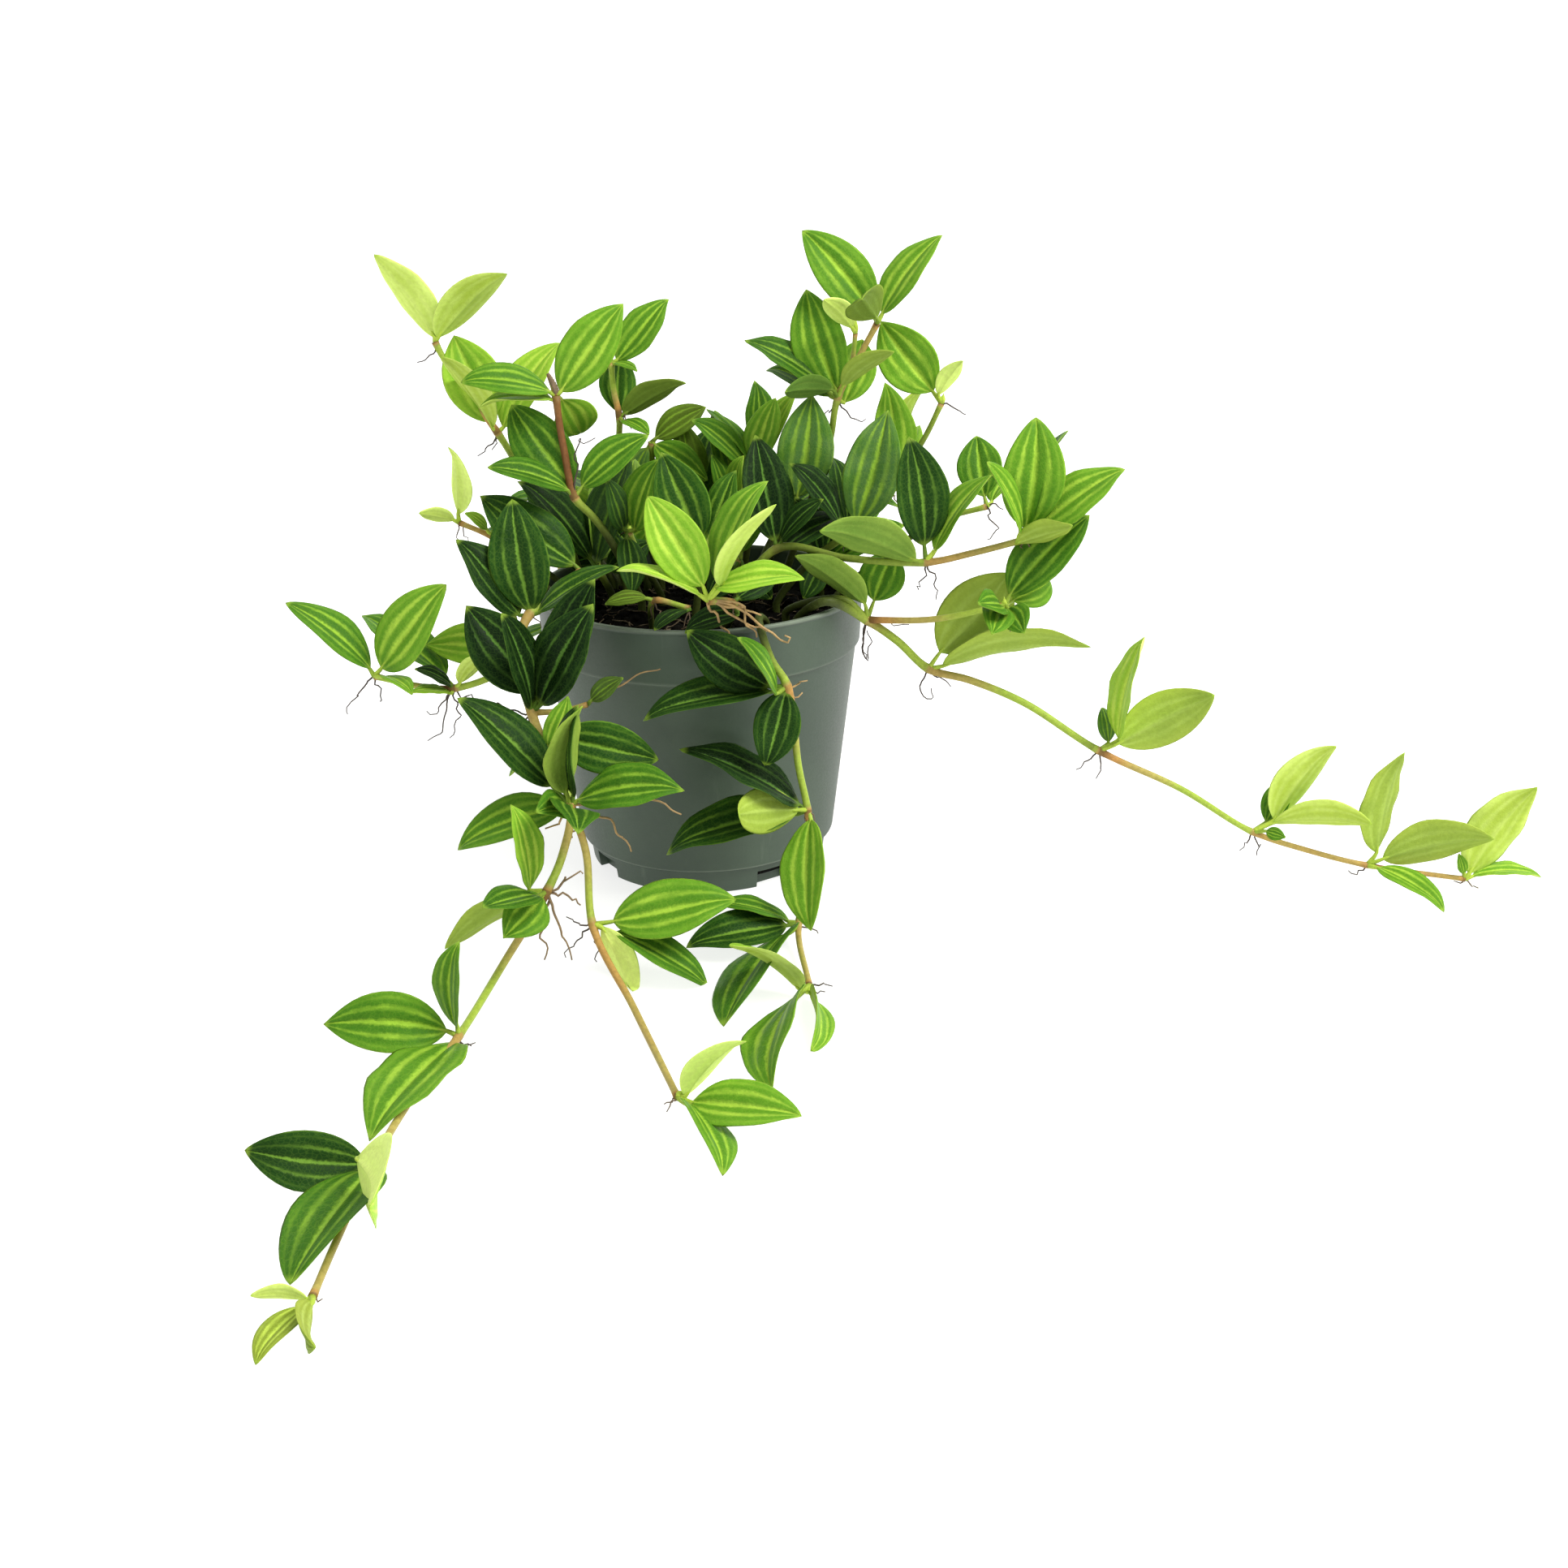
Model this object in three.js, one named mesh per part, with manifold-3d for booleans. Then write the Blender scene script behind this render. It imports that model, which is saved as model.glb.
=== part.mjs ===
import * as THREE from 'three';
import { mergeVertices } from 'three/addons/utils/BufferGeometryUtils.js';
import Module from 'manifold-3d';

// A potted peperomia with leafy stems that arch over the rim and trail along the surface.
// Millimetres, +Z up. The origin is the middle of the pot's underside, and the front is -Y.

const wasm = await Module();
wasm.setup();

// Nursery pot
const rimRadius = 54;
const potHeight = 94;
const rimBandBase = 76;
const rimBandRadius = 52.7;
const bodyTopRadius = 51.6;
const bodyBaseRadius = 43.4;
const footHeight = 9;
const footTopRadius = 41.2;
const footRadius = 40;
const wall = 1.5;
const floorThickness = 3;
const potSides = 30;
const notch = { count: 4, firstAngle: -56, width: 12, height: 6, depth: 5 };

// Soil
const soilGap = 0.3;
const soilTop = 85.5;
const soilRelief = 1.1;
const holeGap = 0.9;
const stemDepthInSoil = 8;
const stemRiseFromSoil = 3;

// Stems, leaves and roots
const stemSides = 5;
const ringSag = 0.8;
const bladeThickness = 0.8;
const petioleWidth = 1.5;
const petioleThickness = 1.3;
const bladeRatio = 0.5;
const archShare = 0.06;
const foldShare = 0.24;
const shortPetiole = 10;
const smallLeaf = 40;
const outerShare = 0.3;
const rootRadius = 0.45;
const lowestLeaf = 0.4;
const clearance = 0.35;
const swings = [0, 2, -2, 4, -4, 6, -6, 9, -9, 12, -12, 16, -16, 20, -20];

// Places on the plant were read off one view of it. A place [x, y, depth] is a picture point and how far
// behind the pot's middle it lies (+Y, mm). sight is the view that turns it into a real place.
const sight = {
  focal: 2100,
  middle: 966,
  pitch: THREE.MathUtils.degToRad(22.1),
  roll: THREE.MathUtils.degToRad(-0.83),
  distance: 590,
  target: new THREE.Vector3(26.7, 0, 22.1),
};
sight.forward = new THREE.Vector3(0, Math.cos(sight.pitch), -Math.sin(sight.pitch));
const levelRight = new THREE.Vector3(1, 0, 0);
const levelUp = new THREE.Vector3().crossVectors(levelRight, sight.forward);
sight.right = levelRight.clone().applyAxisAngle(sight.forward, -sight.roll);
sight.up = levelUp.clone().applyAxisAngle(sight.forward, -sight.roll);
sight.eye = sight.target.clone().addScaledVector(sight.forward, -sight.distance);

function sightLine(x, y) {
  const line = sight.forward.clone();
  line.addScaledVector(sight.right, (x - sight.middle) / sight.focal);
  line.addScaledVector(sight.up, (sight.middle - y) / sight.focal);
  return line;
}

function seen(x, y, depth) {
  const line = sightLine(x, y);
  return line.multiplyScalar((depth - sight.eye.y) / line.y).add(sight.eye);
}

// The place that a picture point shows if it lies at a known height
function seenAtHeight(x, y, height) {
  const line = sightLine(x, y);
  return line.multiplyScalar((height - sight.eye.z) / line.z).add(sight.eye);
}

const at = (x, y, z) => new THREE.Vector3(x, y, z);
const low = (x, y, height) => seenAtHeight(x, y, height);

// Where a stem leaves the soil
function soilHeight(x, y) {
  const waves = Math.sin(x * 0.23 + y * 0.11) + Math.cos(y * 0.27 - x * 0.07) + Math.sin((x + y) * 0.41);
  return soilTop + (waves * soilRelief) / 2;
}
const soil = (x, y) => Object.assign(at(x, y, soilHeight(x, y)), { inSoil: true });

const place = (spot) => (spot.isVector3 ? spot : seen(...spot));

const top = 1;
const under = -1;

// Each spray is one leafy stem with its side shoots. A whorl is a joint of the stem with its leaves.
// Leaf: [base x, base y, tip x, tip y, width seen, side seen, reach], the reach being how much nearer to
// the front the tip comes than the joint, or the height of the tip where it is given as { height }.
// Root: picture points that it hangs through, from the joint.
// Shoot: [thickness, thickness at its end, places or joints...].
const sprays = {
  stem_upper_left: {
    whorls: {
      A: {
        eye: [536, 421, 10],
        leaves: [
          [536, 416, 460, 314, 38, under, 8],
          [539, 416, 623, 333, 40, under, 8],
        ],
      },
      B: {
        eye: [613, 533, 5],
        leaves: [
          [604, 520, 559, 413, 68, top, -8],
          [607, 526, 544, 437, 28, under, 8],
          [620, 526, 690, 422, 45, top, -8],
        ],
      },
    },
    shoots: [
      [2.9, 2.1, soil(-30, 17), [650, 590, 12], 'B', [568, 472, 8], [544, 437, 10], 'A'],
    ],
  },
  stem_flowering: {
    whorls: {
      C: {
        eye: [685, 488, -12],
        leaves: [
          [691, 482, 767, 373, 62, top, -6],
          [678, 483, 568, 468, 36, top, 8],
          [680, 492, 590, 497, 14, top, 2],
          [692, 492, 716, 536, 54, top, -18],
        ],
      },
      D: {
        eye: [708, 613, -17],
        leaves: [
          [705, 601, 630, 499, 66, top, -14],
          [700, 604, 600, 576, 30, top, 8],
          [717, 600, 799, 536, 42, top, -4],
        ],
      },
    },
    shoots: [
      [2.9, 2.3, soil(-19, -7), [745, 655, -14], [726, 632, -16], 'D', [696, 560, -15], [689, 520, -13],
        'C'],
      [1.6, 1, 'C', [675, 462, -12]],
    ],
  },
  stem_top_left: {
    whorls: {
      PP: {
        eye: [753, 447, 12],
        leaves: [
          [760, 444, 823, 367, 42, top, -6],
          [757, 448, 785, 456, 9, top, 6],
        ],
      },
      QQ: {
        eye: [763, 513, 10],
        leaves: [
          [762, 508, 765, 440, 44, top, -14],
          [768, 511, 845, 469, 28, under, 6],
          [767, 518, 800, 536, 16, top, 12],
        ],
      },
    },
    shoots: [
      [2.7, 2, soil(-14, 18), [764, 560, 12], 'QQ', [756, 480, 11], 'PP'],
    ],
  },
  stem_left_tip: {
    whorls: {
      F: {
        eye: [566, 644, -6],
        leaves: [
          [565, 633, 557, 549, 22, under, 6],
          [560, 641, 516, 632, 18, under, 8],
        ],
      },
      F0: {
        eye: [606, 661, -8],
        leaves: [[600, 652, 573, 632, 14, top, 4]],
      },
    },
    shoots: [
      [2.4, 1.8, soil(-41, 3), [640, 680, -4], 'F0', 'F'],
    ],
  },
  stem_left_cascade: {
    whorls: {
      G0: {
        eye: [718, 706, -22],
        leaves: [[708, 696, 591, 611, 62, top, -4]],
      },
      G: {
        eye: [652, 757, -40],
        leaves: [
          [654, 753, 631, 615, 72, top, -8],
          [640, 758, 564, 663, 50, top, 0],
          [663, 755, 762, 697, 24, top, -2],
        ],
      },
      H: {
        eye: [655, 878, -60],
        leaves: [
          [664, 852, 574, 746, 75, top, -6],
          [654, 872, 617, 755, 40, top, 0],
          [665, 868, 727, 745, 66, top, 4],
          [684, 850, 732, 713, 58, top, -4],
        ],
        roots: [[[648, 881], [613, 870], [586, 868]]],
      },
      I: {
        eye: [724, 868, -57],
        leaves: [[728, 863, 768, 835, 24, top, 0]],
        roots: [[[748, 850], [790, 832], [812, 822]]],
      },
      K0: {
        eye: [674, 925, -69],
        leaves: [
          [688, 908, 812, 936, 64, top, 0],
          [676, 920, 700, 858, 34, top, -3],
        ],
      },
      K: {
        eye: [703, 992, -78],
        leaves: [
          [680, 968, 563, 860, 55, top, -4],
          [694, 996, 562, 1045, 51, top, 4],
          [698, 995, 664, 998, 40, top, 24],
          [704, 998, 714, 1020, 48, top, 24],
          [712, 986, 841, 970, 55, top, 0],
          [698, 978, 714, 868, 38, under, 4],
          [706, 980, 709, 869, 24, top, 8],
        ],
        roots: [
          [[716, 1003], [744, 1006], [776, 1047]],
          [[722, 998], [780, 990], [838, 1002]],
        ],
      },
      L: {
        eye: [674, 1098, -98],
        leaves: [
          [652, 1096, 632, 991, 36, top, -4],
          [664, 1100, 548, 1170, 30, under, 6],
          [668, 1104, 620, 1156, 56, top, 16],
          [662, 1104, 594, 1118, 32, top, 4],
        ],
        roots: [
          [[672, 1130], [674, 1180]],
          [[684, 1130], [704, 1176]],
        ],
      },
      N: {
        eye: low(565, 1277, 3.4),
        leaves: [
          [550, 1270, 398, 1262, 72, top, { height: 9 }],
          [562, 1285, 453, 1398, 69, top, { height: 2.5 }],
          [563, 1266, 562, 1161, 32, top, -2],
        ],
      },
      P: {
        eye: low(462, 1428, 3.2),
        leaves: [
          [450, 1434, 301, 1417, 70, top, { height: 9 }],
          [456, 1442, 357, 1583, 70, top, { height: 2.5 }],
          [440, 1428, 455, 1488, 44, under, { height: 13 }],
        ],
      },
      Q: {
        eye: low(385, 1598, 2.8),
        leaves: [
          [379, 1601, 308, 1597, 16, under, { height: 5 }],
          [378, 1610, 313, 1677, 30, top, { height: 2 }],
          [384, 1605, 384, 1662, 15, under, { height: 4 }],
        ],
      },
      M: {
        eye: [730, 1139, -94],
        leaves: [
          [756, 1135, 906, 1105, 70, top, 0],
          [758, 1149, 874, 1213, 38, top, 8],
          [742, 1142, 782, 1237, 36, under, 12],
        ],
      },
      R: {
        eye: low(835, 1352, 2.8),
        leaves: [
          [853, 1358, 988, 1375, 59, top, { height: 7 }],
          [843, 1358, 895, 1442, 32, top, { height: 2 }],
          [844, 1350, 917, 1278, 28, under, 2],
        ],
      },
    },
    shoots: [
      [3.2, 1.9, soil(-35, -21), 'G0', at(-43, -33.5, 99), 'G', at(-54, -51, 84), 'H', 'K0', 'K',
        [694, 1050, -88], 'L', low(623, 1183, 7), 'N', low(516, 1340, 2.2), 'P', low(414, 1530, 2.2), 'Q'],
      [2.1, 1.6, 'H', [692, 876, -58], 'I'],
      [2.5, 2, 'K', [722, 1050, -84], 'M', low(780, 1240, 3), 'R'],
    ],
  },
  stem_far_left: {
    whorls: {
      SB: {
        eye: [645, 803, -27],
        leaves: [[638, 800, 525, 795, 52, top, 0]],
      },
      SS: {
        eye: [560, 848, -36],
        leaves: [
          [548, 834, 446, 757, 40, top, -20],
          [566, 842, 613, 803, 20, under, 4],
          [556, 845, 511, 824, 16, top, 0],
          [556, 854, 506, 853, 12, top, 8],
        ],
        roots: [
          [[552, 864], [537, 878], [526, 877]],
          [[555, 875], [545, 905], [527, 911]],
        ],
      },
      RR: {
        eye: [461, 833, -36],
        leaves: [
          [456, 824, 351, 743, 40, top, 0],
          [470, 823, 548, 720, 62, top, 6],
          [471, 834, 508, 853, 16, top, 14],
        ],
        roots: [[[452, 853], [432, 868], [426, 880]]],
      },
    },
    shoots: [
      [2.9, 2, soil(-43, -9), at(-53.5, -15, 99), at(-59, -22, 92), 'SB', [609, 832, -34], 'SS',
        [520, 846, -35], 'RR'],
    ],
  },
  stem_front_bright: {
    whorls: {
      V: {
        eye: [872, 740, -59],
        leaves: [
          [866, 722, 798, 611, 66, top, -6],
          [884, 718, 940, 590, 40, top, -4],
          [889, 722, 957, 622, 18, under, 6],
          [882, 724, 990, 709, 34, top, 10],
          [863, 733, 761, 698, 14, top, 4],
        ],
        roots: [
          [[872, 746], [886, 765], [901, 787]],
          [[890, 748], [915, 765], [948, 780]],
        ],
      },
      V0: {
        eye: [902, 743, -56],
        leaves: [
          [910, 757, 842, 778, 28, top, 0],
          [908, 738, 957, 712, 30, top, -10],
        ],
        roots: [
          [[905, 746], [922, 765], [930, 788]],
          [[918, 750], [950, 778], [970, 793]],
        ],
      },
    },
    shoots: [
      [2.9, 2.4, soil(9, -37), 'V0', 'V'],
    ],
  },
  stem_front: {
    whorls: {
      S1: {
        eye: [970, 845, -60],
        leaves: [
          [947, 846, 846, 777, 66, top, 2],
          [950, 852, 791, 881, 38, top, 8],
          [956, 855, 910, 785, 20, top, 8],
          [968, 852, 943, 944, 58, top, 8],
        ],
      },
      S2: {
        eye: [995, 998, -62],
        leaves: [
          [986, 992, 838, 921, 40, top, 2],
          [982, 1003, 818, 1046, 52, top, 2],
          [984, 998, 905, 1005, 58, under, 14],
          [999, 1010, 996, 1146, 55, top, 25],
        ],
      },
      T: {
        eye: [984, 1137, -76],
        leaves: [
          [972, 1135, 878, 1112, 20, top, -2],
          [969, 1140, 845, 1163, 47, top, { height: 5 }],
          [976, 1147, 890, 1263, 40, top, { height: 2 }],
        ],
      },
      U: {
        eye: low(997, 1214, 3),
        leaves: [
          [986, 1219, 900, 1162, 14, under, 14],
          [986, 1225, 942, 1337, 42, top, { height: 2 }],
          [998, 1222, 1005, 1293, 18, top, { height: 2 }],
        ],
      },
    },
    shoots: [
      [2.8, 1.9, soil(22, -34), [935, 766, -56], [950, 812, -58.5], 'S1', [984, 945, -62], 'S2',
        [1000, 1070, -70], 'T', 'U'],
    ],
  },
  stem_rim_front: {
    whorls: {
      WA: {
        eye: [806, 740, -40],
        leaves: [[797, 737, 745, 745, 18, top, 2]],
      },
      WB: {
        eye: [850, 750, -43],
        leaves: [[846, 752, 806, 776, 16, top, 10]],
      },
    },
    shoots: [
      [2.3, 1.8, soil(-14, -32), 'WA', 'WB'],
    ],
  },
  stem_mound_left: {
    whorls: {
      X1: {
        eye: [738, 703, -4],
        leaves: [
          [735, 695, 778, 560, 46, top, -2],
          [728, 690, 641, 590, 42, top, 0],
          [738, 690, 728, 568, 44, top, -14],
          [748, 702, 800, 668, 38, top, 8],
        ],
      },
    },
    shoots: [
      [2.9, 2.4, soil(-29, 2), 'X1'],
    ],
  },
  stem_mound_middle: {
    whorls: {
      X3: {
        eye: [774, 655, -8],
        leaves: [
          [772, 662, 778, 734, 36, top, 14],
          [775, 650, 783, 566, 38, top, -14],
          [768, 652, 748, 590, 30, top, -8],
          [782, 652, 812, 566, 42, top, -2],
        ],
      },
      X13: {
        eye: [790, 690, -4],
        leaves: [[786, 684, 748, 645, 26, top, 3]],
      },
    },
    shoots: [
      [2.7, 2.3, soil(-13, 2), 'X13', 'X3'],
    ],
  },
  stem_mound_front: {
    whorls: {
      X7: {
        eye: [868, 672, -22],
        leaves: [
          [863, 664, 815, 557, 65, top, -6],
          [873, 663, 905, 578, 38, top, -6],
          [862, 676, 800, 650, 24, top, 0],
          [876, 668, 936, 630, 38, top, -10],
          [864, 680, 836, 716, 40, top, 14],
        ],
      },
    },
    shoots: [
      [2.9, 2.4, soil(-1, -18), 'X7'],
    ],
  },
  stem_mound_back: {
    whorls: {
      X6: {
        eye: [803, 545, 20],
        leaves: [
          [807, 548, 872, 592, 40, top, 10],
          [808, 540, 870, 501, 34, top, -4],
          [798, 552, 770, 620, 34, top, 12],
        ],
      },
    },
    shoots: [
      [2.8, 2.3, soil(-6, 28), [806, 620, 26], 'X6'],
    ],
  },
  stem_mound_high: {
    whorls: {
      X9: {
        eye: [926, 585, 12],
        leaves: [
          [920, 578, 853, 516, 30, top, 4],
          [925, 574, 870, 504, 16, top, -8],
          [930, 574, 956, 490, 40, top, -12],
        ],
      },
      X12: {
        eye: [905, 622, 8],
        leaves: [
          [904, 612, 914, 562, 22, top, 4],
          [898, 614, 876, 560, 26, top, 8],
          [902, 612, 880, 506, 44, top, -8],
        ],
      },
    },
    shoots: [
      [2.8, 2.2, soil(8, 22), [905, 670, 12], 'X12', 'X9'],
    ],
  },
  stem_right_front: {
    whorls: {
      Y0: {
        eye: [957, 676, -18],
        leaves: [
          [955, 667, 932, 535, 60, top, -6],
          [962, 668, 1015, 615, 26, top, 2],
          [966, 676, 1042, 636, 34, top, -14],
        ],
      },
      Y: {
        eye: [1141, 693, -34],
        leaves: [
          [1139, 672, 1120, 538, 64, top, -4],
          [1128, 690, 1009, 650, 48, under, 10],
          [1152, 678, 1223, 583, 28, top, 0],
        ],
        roots: [[[1148, 708], [1153, 722], [1157, 737]]],
      },
      Z: {
        eye: [1262, 665, -38],
        leaves: [
          [1264, 651, 1277, 514, 75, top, -6],
          [1272, 655, 1386, 577, 52, top, 0],
          [1258, 656, 1216, 569, 20, top, 2],
          [1252, 669, 1322, 648, 28, under, 12],
          [1268, 652, 1311, 527, 24, top, -14],
        ],
      },
    },
    shoots: [
      [2.9, 2.1, soil(10, -16), 'Y0', [1045, 688, -28], 'Y', [1200, 681, -36], 'Z'],
    ],
  },
  stem_right_middle: {
    whorls: {
      Y3: {
        eye: [1048, 657, -12],
        leaves: [
          [1034, 645, 975, 569, 32, top, 4],
          [1044, 645, 1026, 560, 36, top, -18],
          [1056, 643, 1095, 505, 68, top, -6],
        ],
      },
    },
    shoots: [
      [2.9, 2.4, soil(25, -4), [1000, 690, -6], 'Y3'],
    ],
  },
  stem_right_inner: {
    whorls: {
      Y2: {
        eye: [984, 625, 0],
        leaves: [
          [982, 612, 1000, 486, 68, top, -4],
          [974, 622, 946, 588, 30, top, -14],
        ],
      },
    },
    shoots: [[2.6, 2.1, soil(17, 6), 'Y2']],
  },
  stem_right_trail: {
    whorls: {
      BB: {
        eye: [1068, 764, -28],
        leaves: [
          [1066, 744, 980, 682, 36, under, 8],
          [1077, 740, 1101, 678, 56, top, -8],
        ],
        roots: [
          [[1066, 776], [1063, 790], [1067, 812]],
        ],
      },
      AA: {
        eye: [1237, 746, -42],
        leaves: [
          [1244, 734, 1343, 635, 62, top, -4],
          [1248, 740, 1296, 714, 45, top, -14],
          [1235, 750, 1222, 782, 42, top, 20],
          [1242, 750, 1262, 780, 40, top, 18],
          [1232, 746, 1204, 744, 30, top, 14],
        ],
      },
      CC: {
        eye: [1144, 824, -30],
        leaves: [
          [1158, 804, 1243, 706, 85, under, 8],
          [1162, 820, 1345, 796, 28, under, 10],
        ],
        roots: [
          [[1132, 835], [1134, 849], [1150, 858]],
        ],
      },
      DD: {
        eye: [1354, 925, -40],
        leaves: [
          [1378, 916, 1497, 856, 64, under, 8],
          [1378, 910, 1412, 784, 28, top, 0],
          [1366, 914, 1358, 871, 22, top, -8],
        ],
      },
      EE: {
        eye: [1543, 1025, -38],
        leaves: [
          [1560, 1012, 1587, 960, 32, top, -6],
          [1570, 1009, 1644, 916, 40, under, 4],
          [1568, 1014, 1691, 1015, 30, under, 8],
          [1560, 1024, 1584, 1032, 16, top, 6],
        ],
      },
      FF: {
        eye: [1684, 1066, -40],
        leaves: [
          [1696, 1050, 1728, 925, 36, under, 4],
          [1704, 1058, 1841, 1033, 46, under, 8],
          [1698, 1069, 1781, 1121, 24, top, { height: 2 }],
        ],
      },
      GG: {
        eye: low(1805, 1083, 2.6),
        leaves: [
          [1810, 1076, 1893, 968, 52, under, 4],
          [1815, 1079, 1900, 1078, 16, top, { height: 4 }],
          [1804, 1076, 1797, 1052, 12, top, 0],
        ],
      },
    },
    shoots: [
      [3.1, 1.7, soil(31, -27), [1017, 741, -38], 'BB', [1106, 790, -30], 'CC', [1195, 838, -32],
        [1262, 866, -36], 'DD', [1455, 972, -40], 'EE', [1612, 1048, -38], 'FF', 'GG'],
      [2.8, 2.6, soil(28, -15), [1040, 739, -31], 'BB'],
      [2.3, 1.9, 'BB', [1150, 763, -36], 'AA'],
    ],
  },
  stem_top_right: {
    whorls: {
      HH: {
        eye: [1081, 398, 5],
        leaves: [
          [1076, 387, 988, 284, 60, top, -6],
          [1087, 386, 1161, 289, 38, top, -4],
          [1080, 392, 1060, 366, 54, under, 26],
        ],
      },
      KK: {
        eye: [1054, 410, 3],
        leaves: [[1050, 404, 1015, 369, 28, under, 8]],
      },
      JJ: {
        eye: [1032, 491, 2],
        leaves: [
          [1030, 480, 993, 355, 64, top, -6],
          [1022, 482, 917, 419, 34, top, 0],
          [1024, 488, 944, 452, 30, top, -12],
          [1026, 480, 966, 482, 28, under, 14],
          [1038, 476, 1102, 433, 24, under, 10],
          [1040, 496, 1062, 418, 50, top, -16],
        ],
      },
    },
    shoots: [
      [2.9, 2, soil(27, 8), [1022, 545, 4], 'JJ', [1054, 448, 4], 'HH'],
      [1.8, 1.4, [1050, 455, 4], 'KK'],
    ],
  },
  stem_low_left: {
    whorls: {
      XL: {
        eye: [752, 676, 16],
        leaves: [
          [747, 668, 690, 596, 40, top, -4],
          [752, 667, 728, 570, 44, top, -6],
          [757, 668, 780, 590, 44, top, -4],
          [760, 676, 806, 640, 38, top, 4],
          [744, 682, 694, 692, 34, top, 6],
        ],
      },
    },
    shoots: [[2.4, 2, soil(-26, 14), 'XL']],
  },
  stem_low_middle: {
    whorls: {
      XM: {
        eye: [912, 690, -6],
        leaves: [
          [904, 686, 846, 636, 40, top, -6],
          [913, 680, 934, 590, 42, top, -8],
          [906, 698, 872, 738, 36, top, 8],
          [916, 698, 950, 738, 38, top, 8],
        ],
      },
    },
    shoots: [[2.4, 2, soil(5, -4), 'XM']],
  },
  stem_low_right: {
    whorls: {
      XR: {
        eye: [1016, 692, 4],
        leaves: [
          [1010, 684, 978, 612, 42, top, -4],
          [1018, 682, 1040, 596, 42, top, -8],
          [1022, 685, 1092, 612, 40, top, -4],
          [1025, 690, 1114, 646, 36, top, 2],
          [1010, 699, 990, 738, 34, top, 10],
        ],
      },
    },
    shoots: [[2.4, 2, soil(35, 3), 'XR']],
  },
  stem_low_back: {
    whorls: {
      X14: {
        eye: [852, 632, 20],
        leaves: [
          [848, 623, 838, 516, 44, top, -6],
          [855, 622, 884, 520, 44, top, -8],
          [845, 627, 806, 566, 38, top, -2],
          [859, 627, 908, 562, 36, top, -4],
        ],
      },
    },
    shoots: [[2.4, 2, soil(-3, 18), 'X14']],
  },
  stem_low_edge: {
    whorls: {
      X16: {
        eye: [700, 664, 4],
        leaves: [
          [696, 655, 650, 592, 38, top, -6],
          [700, 654, 690, 596, 36, top, -8],
          [692, 662, 640, 650, 34, top, 2],
        ],
      },
    },
    shoots: [[2.4, 2, soil(-37, 4), 'X16']],
  },
  stem_top_middle: {
    whorls: {
      LL: {
        eye: [940, 566, 30],
        leaves: [
          [937, 558, 932, 468, 38, top, -6],
          [946, 558, 980, 484, 26, top, -2],
        ],
      },
    },
    shoots: [
      [2.6, 2.1, soil(14, 36), 'LL'],
    ],
  },
  stem_right_back: {
    whorls: {
      NN: {
        eye: [1098, 606, 16],
        leaves: [
          [1096, 596, 1092, 471, 52, top, -4],
          [1104, 588, 1135, 474, 22, under, 4],
          [1108, 598, 1133, 523, 34, top, -6],
        ],
      },
    },
    shoots: [
      [2.7, 2.3, soil(37, 22), 'NN'],
    ],
  },
  stem_right_tip: {
    whorls: {
      II: {
        eye: [1160, 497, 12],
        leaves: [
          [1149, 482, 1085, 396, 66, top, -4],
          [1156, 486, 1186, 443, 22, under, 6],
        ],
      },
    },
    shoots: [
      [2.6, 1.9, soil(40, 9), [1136, 545, 13], 'II'],
    ],
  },
  stem_right_short: {
    whorls: {
      OO: {
        eye: [1216, 624, -6],
        leaves: [
          [1213, 612, 1203, 537, 54, top, -12],
          [1222, 618, 1250, 580, 24, top, -16],
        ],
      },
    },
    shoots: [[2.3, 1.9, soil(43, -3), [1150, 645, -2], 'OO']],
  },
};

// Stems at the back, which the view hides, have the same habit and are laid out by rule: some trail over
// the back of the rim and some stand in the mound. Angles are from +X towards +Y.
const backTrails = { angles: [62, 88, 114, 138], soilRadius: 40, drops: [44, 68, 40, 60] };
const backUprights = { angles: [50, 90, 130], soilRadius: 30, heights: [24, 30, 26] };
const backStem = { thick: 3, thickEnd: 2.4, inSoil: true };
const backLeafLength = 37;
const fanAngle = THREE.MathUtils.degToRad(200);

// ---- Solids ----

function solidOf(points, triangles) {
  const mesh = new wasm.Mesh({
    numProp: 3,
    vertProperties: Float32Array.from(points),
    triVerts: Uint32Array.from(triangles),
  });
  return new wasm.Manifold(mesh);
}

// A closed geometry as a solid, its shared points welded and its faces turned out
function toSolid(geometry) {
  const bare = geometry.clone();
  bare.deleteAttribute('normal');
  bare.deleteAttribute('uv');
  const welded = mergeVertices(bare, 1e-4);
  const points = welded.attributes.position.array;
  const index = welded.index.array;
  const outward = [];
  const inward = [];
  for (let i = 0; i < index.length; i += 3) {
    const [a, b, c] = [index[i], index[i + 1], index[i + 2]];
    if (a === b || b === c || c === a) continue;
    outward.push(a, b, c);
    inward.push(a, c, b);
  }
  const solid = solidOf(points, outward);
  return solid.volume() > 0 ? solid : solidOf(points, inward);
}

function toMesh(name, solid, color, roughness) {
  const { vertProperties, triVerts } = solid.getMesh();
  const geometry = new THREE.BufferGeometry();
  geometry.setAttribute('position', new THREE.BufferAttribute(Float32Array.from(vertProperties), 3));
  geometry.setIndex(Array.from(triVerts));
  geometry.computeVertexNormals();
  const mesh = new THREE.Mesh(geometry, new THREE.MeshStandardMaterial({ color, roughness, metalness: 0 }));
  mesh.name = name;
  return mesh;
}

const joined = (solids) => solids.reduce((whole, solid) => whole.add(solid));

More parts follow.
